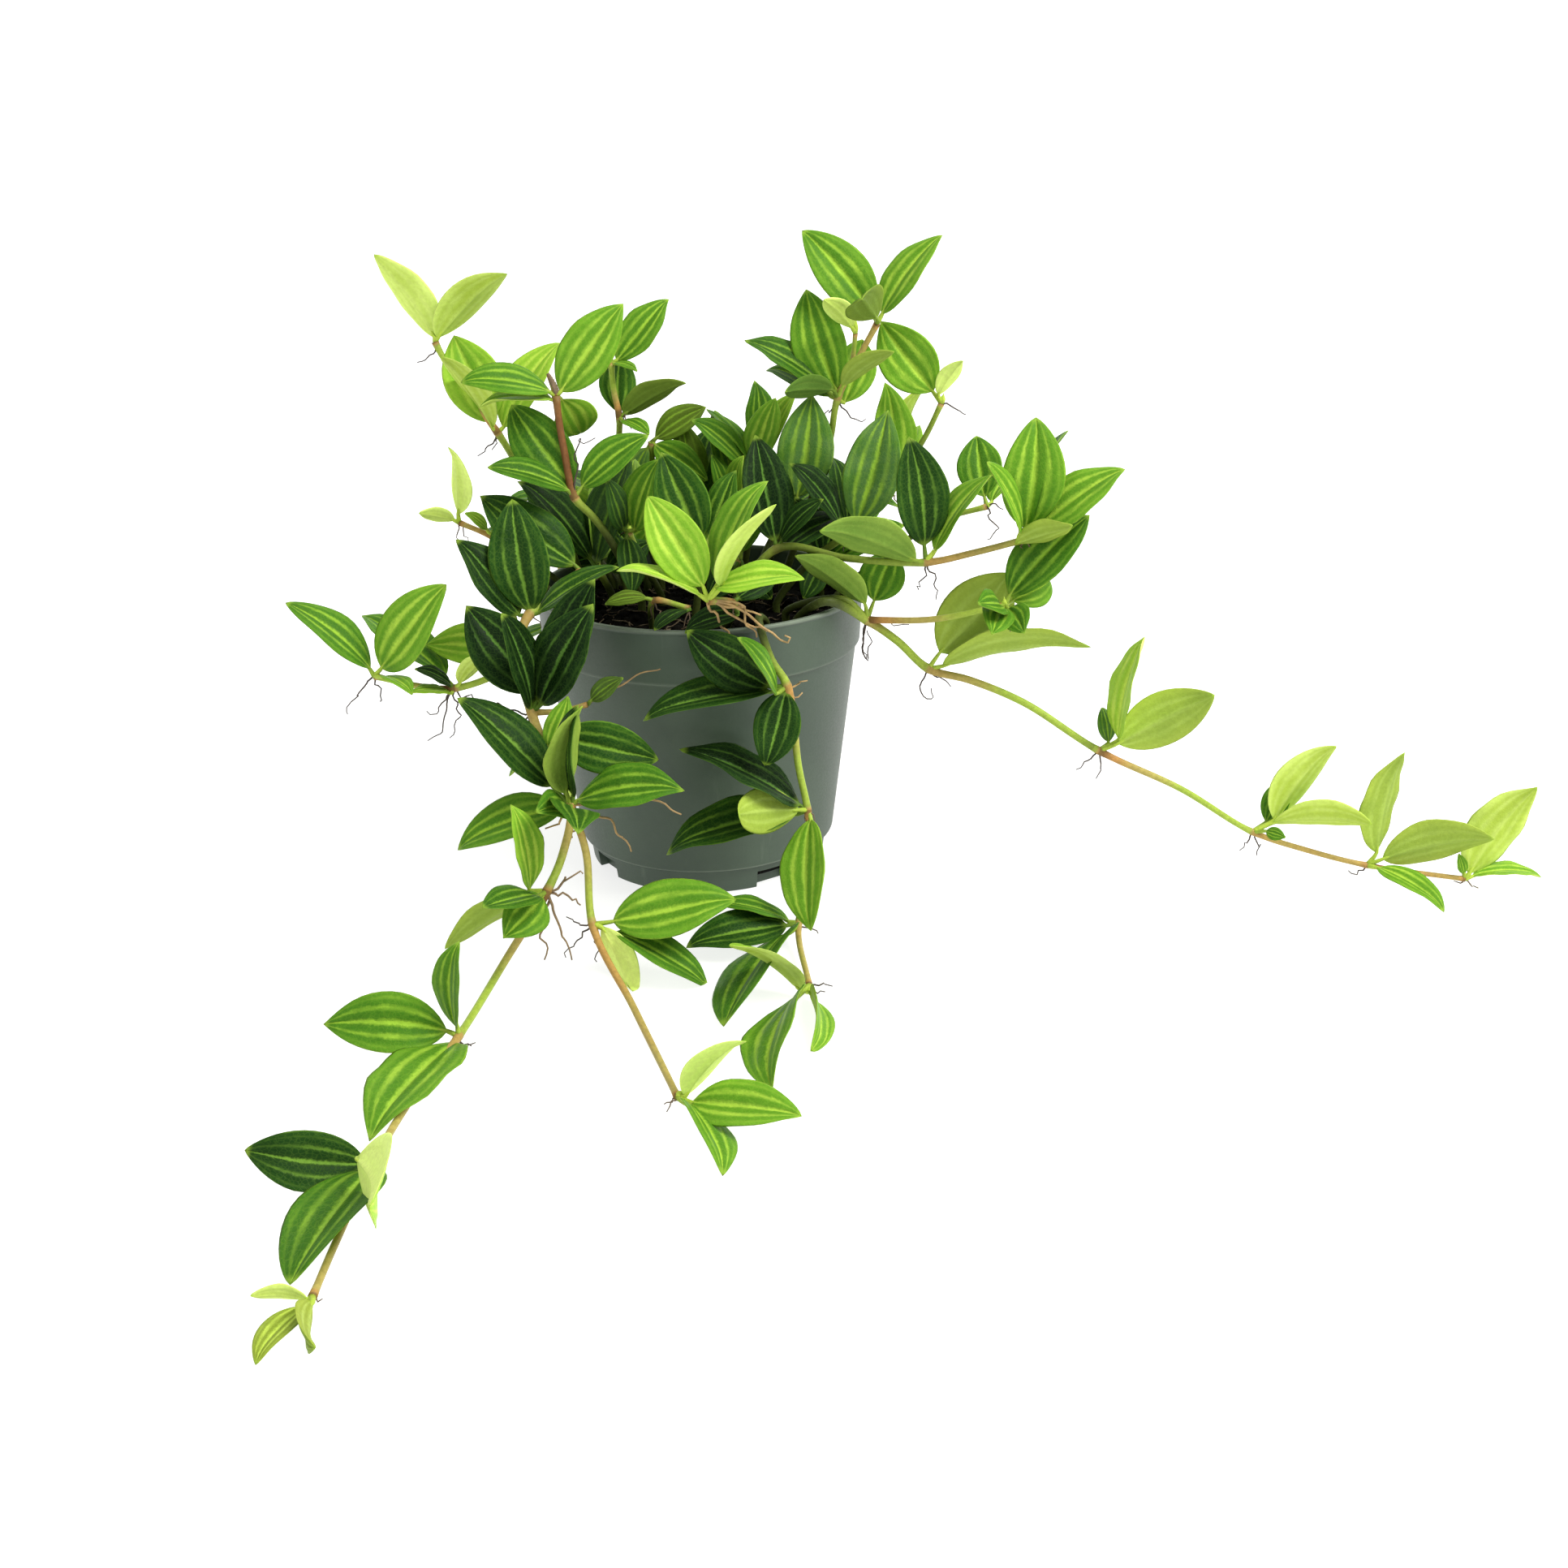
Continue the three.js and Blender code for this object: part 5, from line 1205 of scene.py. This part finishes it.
stemColors = {
    "ripening": [(0.03, (0.19, 0.08, 0.026)), (0.12, (0.48, 0.25, 0.07)), (0.32, (0.42, 0.34, 0.09)),
                 (0.6, (0.33, 0.45, 0.055))],
    "leafStalk": [(0.3, (0.10, 0.19, 0.02)), (1, (0.47, 0.62, 0.07))], "knot": (0.26, 0.22, 0.06),
    "shaded": (0.03, 0.04, 0.01), "root": (0.47, 0.30, 0.12), "oldRoot": (0.075, 0.055, 0.045),
}


# The stalk attribute of a stem: share of the way from one joint to the next, closeness to a joint, draw.
# Below the first joint the share is between 1 and 2, and 2 in the soil. Leaf stalks have a draw over 1.5.
def makeStemMaterial():
    material, tree, shader = newMaterial("stemSkin")
    along, closeness, draw = partsOf(tree, "stalk")
    place = placeIn(tree)
    ripe = maths(tree, "ADD", along, about(tree, noise(tree, place, 28.0), 0.6))
    color = ramp(tree, ripe, stemColors["ripening"])
    shade = maths(tree, "MULTIPLY", maths(tree, "SUBTRACT", along, 1.0), 3.2, clamp=True)
    shade = times(tree, shade, maths(tree, "LESS_THAN", draw, 1.5))
    color = mixed(tree, times(tree, shade, 0.92), color, stemColors["shaded"])
    isStalk = maths(tree, "GREATER_THAN", draw, 1.5)
    color = mixed(tree, isStalk, color, ramp(tree, along, stemColors["leafStalk"]))
    color = mixed(tree, times(tree, closeness, 0.4), color, stemColors["knot"])
    specks = node(
        tree, "Group", {"Color": color, "Place": place, "Roughness": 0.7}, node_tree=speckle).outputs
    fill(tree, shader, {
        "Base Color": specks["Color"],
        "Roughness": ramp(tree, specks["Specks"], [(0.3, 0.42), (0.7, 0.56)]),
        "Normal": bumped(tree, specks["Specks"], 0.3, 0.0003),
        "Specular IOR Level": 0.16,
    })
    return material


def makeRootMaterial():
    material, tree, shader = newMaterial("rootSkin")
    color = mixed(tree, partsOf(tree, "stalk")[2], stemColors["root"], stemColors["oldRoot"])
    specks = node(tree, "Group", {
        "Color": color, "Place": placeIn(tree), "Scale": 600.0, "Darkest": 0.5, "Share": 0.6},
        node_tree=speckle).outputs
    fill(tree, shader, {
        "Base Color": specks["Color"],
        "Roughness": ramp(tree, specks["Specks"], [(0.3, 0.6), (0.7, 0.8)]),
        "Normal": bumped(tree, specks["Specks"], 0.4, 0.0002),
    })
    return material


stemSkin = makeStemMaterial()
rootSkin = makeRootMaterial()
print("materials made")


def cornersOf(node):
    return np.array([v.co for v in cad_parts[node].data.vertices]) / mm


def placeOf(spot, joints):
    if isinstance(spot, str):
        return joints[spot]
    if isinstance(spot, tuple) and isinstance(spot[0], str):
        return spot[1]
    return spot if isinstance(spot, np.ndarray) else seen(*spot)


def stemPlaces(places):  # a stem that leaves the soil stands upright in it first
    start = places[0]
    foot = start - at(0, 0, soilSizes["depthOfStem"])
    bend = start + at(0, 0, soilSizes["riseOfStem"])
    return [foot, start, bend, *places[1:]]


def buildSpray(name, stems, leaves, roots, hairy, buds=(), spikes=()):
    corners = cornersOf(name)
    blades, stalks = Batch(), Batch()
    for stem in stems:
        addStem(stalks, *stem)
    for make, tone in leaves:
        leaf = settledLeaf(make, corners)
        addLeaf(blades, leaf, tone)
        addStalk(stalks, leaf, tone)
    for look, places in roots:
        addRoot(stalks, places, look, 0.35)
    for joint in hairy:
        addRootlets(stalks, joint)
    for joint, tip in buds:
        addBud(stalks, joint, tip)
    for places in spikes:
        addSpike(stalks, places)
    for piece, label, materials in (
        (blades, "leaves", [leafTop, leafUnderside]),
        (stalks, "stems", [stemSkin, rootSkin]),
    ):
        built = piece.build(f"{name}.{label}", materials)
        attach(built, "root")
        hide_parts(name)


# How green the stem is just past a joint, from 0, brown, over 0.3, tan, to 0.6, green, and how much it
# greens on the way to the next. Over 1 it is shaded. A pair of joints stands for one of two branches.
ripeAfter = {
    "D": (-0.15, 0.15), "EE": (0.2, 0.12), "FF": (0.16, 0.12), "F0": (0.1, 0.2), "JJ": (0.22, 0.15),
    "NN": (0.22, 0.15), "G": (0.15, 0.25), "H": (0.15, 0.25), "K": (0.15, 0.5), "M": (0.22, 0.12),
    "T": (0.22, 0.15), "N": (0.2, 0.2), "P": (0.14, 0.16), "S1": (0.2, 0.8), "AA": (0.05, 0.3),
    "Y": (0.18, 0.18), ("BB", "AA"): (0.08, 0.8), "BB": (0.4, 0.6), "CC": (0.25, 0.9), "DD": (0.07, 0.9),
    "Y0": (1.22, -0.15),
}


def tableSpray(name, spray):
    joints = {key: placeOf(spot, {}) for key, spot in spray["joints"].items()}
    stems = []
    for thick, thickEnd, *spots in spray["shoots"]:
        places = [placeOf(spot, joints) for spot in spots]
        isJoint = [isinstance(spot, str) for spot in spots]
        inSoil = isinstance(spots[0], tuple) and spots[0][0] == "soil"
        if inSoil:
            places, isJoint = stemPlaces(places), [False, False, *isJoint]
        passed = [spot for spot in spots if isinstance(spot, str)]
        pairs = zip(passed, [*passed[1:], ""])
        ripening = [ripeAfter.get(pair, ripeAfter.get(pair[0], (0, 1))) for pair in pairs]
        stems.append(((thick, thickEnd), places, isJoint, inSoil, ripening))
    leaves = [
        (lambda swing, key=key, row=row: seenLeaf(joints[key], row, swing), leafTones[tone])
        for key, rows in spray["leaves"].items()
        for *row, tone in rows
    ]
    roots, buds, spikes = [
        [
            [joints[key], *[seen(x, y, joints[key][1]) for x, y in spots]]
            for key, *spots in spray.get(kind, [])
        ]
        for kind in ("roots", "buds", "spikes")
    ]
    rootKeys = [row[0] for row in spray.get("roots", [])]
    roots = [(rootLooks.get(key, rootLooks["other"]), places) for key, places in zip(rootKeys, roots)]
    hairy = [joint for key, joint in joints.items() if key not in rootKeys and joint[2] < rootlets["highest"]]
    buildSpray(name, stems, leaves, roots, hairy, buds, spikes)


def fan(joint, heading, length, tones):
    count = len(tones)
    return [
        (lambda swing, index=index: fanLeaf(joint, heading, index, count, length, swing), leafTones[tone])
        for index, tone in enumerate(tones)
    ]


def backStart(angle, radius):
    start = spoke(angle, radius, 0)
    start[2] = soilHeight(start[0], start[1])
    return start


def backTrail(number, angle, drop):
    course = [
        spoke(angle + turn, potSizes["rimRadius"] + out, potSizes["height"] + rise - drop * share)
        for turn, out, rise, share in backTrails["course"]
    ]
    places = stemPlaces([backStart(angle, backTrails["soilRadius"]), *course])
    leaves = []
    for index, length, slope, tones in backTrails["fans"]:
        heading = spoke(angle, 1, slope)
        leaves += fan(course[index], heading, backStem["leafLength"] * length, tones)
    fanned = [row[0] for row in backTrails["fans"]]
    isJoint = [False] * 3 + [index in fanned for index in range(len(course))]
    stems = [((backStem["thick"], backStem["thickEnd"]), places, isJoint, True, [])]
    buildSpray(f"stem_back_trail_{number}", stems, leaves, [], [course[index] for index in fanned])


def backUpright(number, angle, height):
    start = backStart(angle, backUprights["soilRadius"])
    crown = spoke(angle, backUprights["soilRadius"] + backUprights["lean"], soilSizes["top"] + height)
    isJoint = [False] * 3 + [True]
    stems = [((backStem["thick"], backStem["thickEnd"]), stemPlaces([start, crown]), isJoint, True, [])]
    leaves = fan(crown, spoke(angle, 1, 0), backStem["leafLength"], backUprights["tones"])
    buildSpray(f"stem_back_upright_{number}", stems, leaves, [], [])


for name, spray in sprays.items():
    tableSpray(name, spray)
for i, (angle, drop) in enumerate(zip(backTrails["angles"], backTrails["drops"])):
    backTrail(i + 1, angle, drop)
for i, (angle, height) in enumerate(zip(backUprights["angles"], backUprights["heights"])):
    backUpright(i + 1, angle, height)
print("plant built")

potLook = {
    "dark": (0.034, 0.057, 0.036), "light": (0.048, 0.076, 0.048), "scuff": (0.13, 0.17, 0.12),
    "edgeLight": (0.19, 0.23, 0.17), "drawn": (160.0, 160.0, 9.0), "scraped": (14.0, 14.0, 260.0),
    "rounding": 0.5, "sharpOver": math.radians(40),
    # how much lighter the pot is by height, in tenths of a metre: a painted highlight along the foot's upper
    # edge and the band's lower edge, and a lighter line at the rim
    "edgeLightByHeight": [(0.082, 0.0), (0.088, 0.5), (0.092, 0.5), (0.097, 0.0), (0.752, 0.0), (0.757, 0.3), (0.762, 0.3),
             (0.770, 0.0), (0.925, 0.0), (0.935, 0.8), (0.945, 0.8)],
}


def makePotMaterial():
    material, tree, shader = newMaterial("potPlastic")
    place = placeIn(tree)
    cloud = noise(tree, place, 26.0, 4.0, 0.6)
    grain = noise(tree, place, 1500.0, 3.0, 0.7)
    drawn, scraped = [
        node(tree, "Mapping", {"Vector": place, "Scale": potLook[key]}).outputs[0]
        for key in ("drawn", "scraped")
    ]
    streaks = ramp(tree, noise(tree, drawn, 1.0, 4.0, 0.7), [(0.62, 0.0), (0.8, 0.35)])
    scrapes = ramp(tree, noise(tree, scraped, 1.0, 5.0, 0.8), [(0.66, 0.0), (0.74, 0.3)])
    color = mixed(tree, ramp(tree, cloud, [(0.35, 0.0), (0.65, 1.0)]), potLook["dark"], potLook["light"])
    color = mixed(tree, streaks, color, potLook["scuff"])
    color = mixed(tree, scrapes, color, potLook["scuff"])
    height = node(tree, "SeparateXYZ", {0: place}).outputs[2]
    # thin lighter lines by height: a painted edge highlight at the foot and the band, and a lighter line at
    # the rim
    edgeLight = ramp(tree, times(tree, height, 10.0), potLook["edgeLightByHeight"])
    edgeLight = times(tree, edgeLight, ramp(tree, cloud, [(0.3, 0.4), (0.6, 1.0)]))
    rough = ramp(tree, cloud, [(0.3, 0.42), (0.7, 0.54)])
    fill(tree, shader, {
        "Base Color": mixed(tree, edgeLight, color, potLook["edgeLight"]),
        "Roughness": mixed(tree, 0.5, rough, ramp(tree, grain, [(0.3, 0.4), (0.7, 0.6)])),
        "Normal": bumped(tree, grain, 0.12, 0.0002),
    })
    return material


def turned(profile, sides):  # a profile of (radius, height) turned about the middle
    points, faces, rows = [], [], []
    for radius, height in profile:
        if radius == 0:
            points.append(at(0, 0, height))
            rows.append([len(points) - 1] * sides)
            continue
        rows.append(list(range(len(points), len(points) + sides)))
        points += [spoke(360 * k / sides, radius, height) for k in range(sides)]
    for near, far in zip(rows, rows[1:]):
        for k in range(sides):
            face = tidyFace([near[k], near[(k + 1) % sides], far[(k + 1) % sides], far[k]])
            if face:
                faces.append(face)
    return points, faces


def innerProfile(gap):  # the pot's inside from its floor to its band, or the soil's side, a gap away from it
    p = potSizes
    slope = (p["bodyTop"] - p["bodyBase"]) / (p["bandBase"] - p["footHeight"])
    body = [(p["bodyBase"] + slope * (height - p["footHeight"]) - p["wall"] - gap, height)
            for height in (p["footHeight"] + p["wall"], p["bandBase"] - 1)]
    return [(p["footTop"] - 2.2 * p["wall"] - gap, p["floor"] + gap), *body,
            (p["bandRadius"] - p["wall"] - gap, p["bandBase"] + 2)]


def bandInside(height):  # the inner radius of the rim band
    return potSizes["bandRadius"] - potSizes["wall"] + (height - potSizes["bandBase"]) * potSizes["bandFlare"]


def rounded(profile, size, steps=4):  # turns each inner corner of a profile into a small arc
    result = [profile[0]]
    for corners in zip(profile, profile[1:], profile[2:]):
        before, corner, after = map(np.array, corners)
        reach = min(size, np.linalg.norm(before - corner) * 0.4, np.linalg.norm(after - corner) * 0.4)
        start, end = corner + unit(before - corner) * reach, corner + unit(after - corner) * reach
        for t in np.linspace(0, 1, steps + 1):
            result.append(tuple(start * (1 - t) ** 2 + corner * 2 * t * (1 - t) + end * t**2))
    return [*result, profile[-1]]


def cutNotch(pot, angle):
    bpy.ops.mesh.primitive_cube_add(size=1)
    cutter = bpy.context.object
    cutter.scale = at(potSizes["notchDepth"] * 2, potSizes["notchWidth"], potSizes["notchHeight"] * 2) * mm
    cutter.location = spoke(angle, potSizes["footTop"] + 0.4, 0) * mm
    cutter.rotation_euler = (0, 0, math.radians(angle))
    cut = pot.modifiers.new("notch", "BOOLEAN")
    cut.object, cut.operation, cut.solver = cutter, "DIFFERENCE", "EXACT"
    bpy.context.view_layer.objects.active = pot
    bpy.ops.object.modifier_apply(modifier=cut.name)
    bpy.data.objects.remove(cutter)


def buildPot():
    p = potSizes
    height, rim = p["height"], p["rimRadius"]
    outside = [(0, 0), (p["footRadius"], 0), (p["footTop"], p["footHeight"]),
               (p["bodyBase"], p["footHeight"]), (p["bodyTop"], p["bandBase"]),
               (p["bandRadius"], p["bandBase"]), (rim - 0.5, height - 1.6), (rim, height - 1), (rim, height)]
    inside = [(bandInside(height), height), *innerProfile(0)[::-1], (0, p["floor"])]
    points, faces = turned(rounded(outside + inside, potLook["rounding"]), p["sides"])
    pot = makeMesh("pot.shell", points, faces, [makePotMaterial()])
    for i in range(p["notchCount"]):
        cutNotch(pot, p["notchAngle"] + 360 / p["notchCount"] * i)
    pot.data.shade_smooth()
    pot.data.set_sharp_from_angle(angle=potLook["sharpOver"])
    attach(pot, "root")
    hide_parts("pot")


buildPot()
print("pot built")

soilLook = {
    "peat": ((0.001, 0.0012, 0.0008), (0.007, 0.006, 0.004)),
    "fibre": ((0.20, 0.16, 0.10), (0.05, 0.035, 0.02)),
    "peatScale": 380.0, "fibreScale": 200.0, "rings": 34, "sides": 110, "crumbs": 620, "crumbSize": 1.9,
    "fibres": 70, "fibreLengths": (5, 15), "fibreBend": (-0.8, 0.8), "fibreRadii": (0.12, 0.32),
    "lumps": ((0.7, 0.36), (1.5, 0.24), (2.9, 0.2)),  # radians in a millimetre, and height
}


def makeSoilMaterial(name, colors, scale):
    material, tree, shader = newMaterial(name)
    place = placeIn(tree)
    lumps = noise(tree, place, scale, 6.0, 0.75)
    grains = node(tree, "TexVoronoi", {"Vector": place, "Scale": scale * 2.2}).outputs["Distance"]
    color = ramp(tree, lumps, list(zip((0.36, 0.62), colors)))
    shade = ramp(tree, grains, [(0.0, 1.0), (0.8, 0.45)])
    fill(tree, shader, {
        "Base Color": mixed(tree, 0.6, color, shade, blend="MULTIPLY"),
        "Roughness": ramp(tree, lumps, [(0.3, 0.8), (0.7, 0.98)]),
        "Normal": bumped(tree, lumps, 0.8, 0.001),
        "Specular IOR Level": 0.05,
    })
    return material


def lumpy(x, y):
    value = 0
    for size, strength in soilLook["lumps"]:
        swell = np.sin(x * size + 1.7 * np.sin(y * size * 0.8))
        value = value + strength * swell * np.cos(y * size * 1.1 + x * 0.3)
    return value


def onSoil(x, y, lift):
    return at(x, y, soilHeight(x, y) + lumpy(x, y) + lift)


def soilBed(edge):
    sides, rings, level = soilLook["sides"], soilLook["rings"], soilSizes["top"]
    lower = innerProfile(soilSizes["gap"])[:3]
    profile = [(0, lower[0][1]), *lower, (edge, level - 0.6)]
    profile += [(edge * (1 - i / rings), level) for i in range(rings + 1)]
    points, faces = turned(profile, sides)
    for point in points:
        if point[2] > level - 0.7:
            x, y = point[0], point[1]
            point[2] += soilHeight(x, y) - level + (lumpy(x, y) if point[2] >= level else 0)
    return points, faces


def addCrumb(batch, shape, edge):
    points, faces = shape
    radius, turn = (edge - 1.5) * math.sqrt(rng.random()), rng.uniform(0, 2 * math.pi)
    size = rng.uniform(0.5, 1.0) ** 2 * soilLook["crumbSize"]
    stretch = rng.uniform(0.6, 1.3, 3)
    tumble = np.linalg.qr(rng.normal(size=(3, 3)))[0]
    if np.linalg.det(tumble) < 0:
        tumble[:, 0] *= -1
    lump = (points * rng.uniform(0.8, 1.15, (len(points), 1)) * stretch * size) @ tumble.T
    batch.add(lump + onSoil(radius * math.cos(turn), radius * math.sin(turn), size * 0.2), faces, 0)


def addFibre(batch, edge):
    radius, turn = (edge - 5) * math.sqrt(rng.random()), rng.uniform(0, 2 * math.pi)
    heading = rng.uniform(0, 2 * math.pi)
    long = rng.uniform(*soilLook["fibreLengths"])
    bend = rng.uniform(*soilLook["fibreBend"])
    places = []
    for share in (0, 1 / 3, 2 / 3, 1):
        x = radius * math.cos(turn) + long * share * math.cos(heading + bend * share)
        y = radius * math.sin(turn) + long * share * math.sin(heading + bend * share)
        limit = min(1, (edge - 1) / math.hypot(x, y))
        places.append(onSoil(x * limit, y * limit, rng.uniform(0.2, 1.6)))
    path, _ = smoothPath(places, 1.5)
    points, faces = tube(path, [rng.uniform(*soilLook["fibreRadii"])] * len(path), 5)
    batch.add(points, faces, 0)


def buildSoil():
    edge = bandInside(soilSizes["top"]) - soilSizes["gap"]
    points, faces = soilBed(edge)
    peat = makeSoilMaterial("soilPeat", soilLook["peat"], soilLook["peatScale"])
    fibreSkin = makeSoilMaterial("soilFibre", soilLook["fibre"], soilLook["fibreScale"])
    bed = makeMesh("soil.bed", points, faces, [peat])
    ball = bmesh.new()
    bmesh.ops.create_icosphere(ball, subdivisions=1, radius=1)
    shape = np.array([v.co for v in ball.verts]), [[v.index for v in face.verts] for face in ball.faces]
    ball.free()
    crumbs, fibres = Batch(), Batch()
    for _ in range(soilLook["crumbs"]):
        addCrumb(crumbs, shape, edge)
    for _ in range(soilLook["fibres"]):
        addFibre(fibres, edge)
    for piece in (bed, crumbs.build("soil.crumbs", [peat]), fibres.build("soil.fibres", [fibreSkin])):
        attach(piece, "root")
        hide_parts("soil")


buildSoil()
print("soil built")

# The floor and backdrop glow so they look white; near the pot the glow is weaker, a painted shade around the
# pot's foot
stageLook = {
    "floorSize": 12, "wallPlace": 5, "floor": (0.36, 0.36, 0.35), "sky": (1.0, 1.0, 1.0), "skyStrength": 0.43,
    "glow": 1.1, "glowByDistance": [(0.05, 0.68), (0.2, 0.88), (0.6, 1.0)],  # in metres from the pot
}
lights = {
    "key": {"place": (0.9, -0.5, 1.3), "size": 0.9, "power": 35, "color": (1.0, 0.985, 0.955)},
    "fill": {"place": (-0.9, -0.9, 0.8), "size": 1.2, "power": 4, "color": (0.95, 0.98, 1.0)},
}


def buildStage():
    material, tree, shader = newMaterial("paleFloor")
    # the glow grows with distance from the middle: weaker near the pot, a painted shade there
    distance = node(tree, "VectorMath", {0: placeIn(tree)}, operation="LENGTH").outputs["Value"]
    fill(tree, shader, {
        "Base Color": (*stageLook["floor"], 1), "Roughness": 0.8, "Emission Strength": stageLook["glow"],
        "Emission Color": ramp(tree, distance, stageLook["glowByDistance"])})
    size, wall = stageLook["floorSize"], stageLook["wallPlace"]
    for name, place, turn in (("floor", (0, 0, 0), 0), ("backdrop", (0, wall, size / 2), math.pi / 2)):
        bpy.ops.mesh.primitive_plane_add(size=size, location=place, rotation=(turn, 0, 0))
        plane = bpy.context.object
        plane.name = name
        plane.data.materials.append(material)


def buildSky():
    world = bpy.data.worlds.new("studio")
    world.use_nodes = True
    tree = world.node_tree
    # the sky looks white, but lights the plant less
    soft = stageLook["skyStrength"]
    straight = node(tree, "LightPath", {}).outputs["Is Camera Ray"]
    fill(tree, tree.nodes["Background"], {
        "Color": (*stageLook["sky"], 1), "Strength": maths(tree, "MULTIPLY_ADD", straight, 1 - soft, soft)})
    bpy.context.scene.world = world


def buildLights():
    for name, look in lights.items():
        lamp = bpy.data.lights.new(name, "AREA")
        lamp.energy, lamp.size, lamp.color = look["power"], look["size"], look["color"]
        holder = bpy.data.objects.new(name, lamp)
        holder.location = look["place"]
        holder.rotation_euler = (-holder.location).to_track_quat("-Z", "Y").to_euler()
        bpy.context.scene.collection.objects.link(holder)


def buildCamera():
    view = bpy.data.cameras.new("view")
    view.sensor_width = sight["sensorWidth"]
    view.sensor_fit = "HORIZONTAL"
    view.lens = sight["sensorWidth"] * sight["focal"] / sight["frameWidth"]
    view.clip_start, view.clip_end = 0.01, 50
    holder = bpy.data.objects.new("view", view)
    axes = np.eye(4)
    axes[:3, 0], axes[:3, 1], axes[:3, 2], axes[:3, 3] = sightRight, sightUp, -sightForward, sightEye * mm
    holder.matrix_world = Matrix(axes.tolist())
    bpy.context.scene.collection.objects.link(holder)
    bpy.context.scene.camera = holder


buildStage()
buildSky()
buildLights()
buildCamera()
bpy.context.scene.view_settings.view_transform = "Standard"
print("stage and camera set")
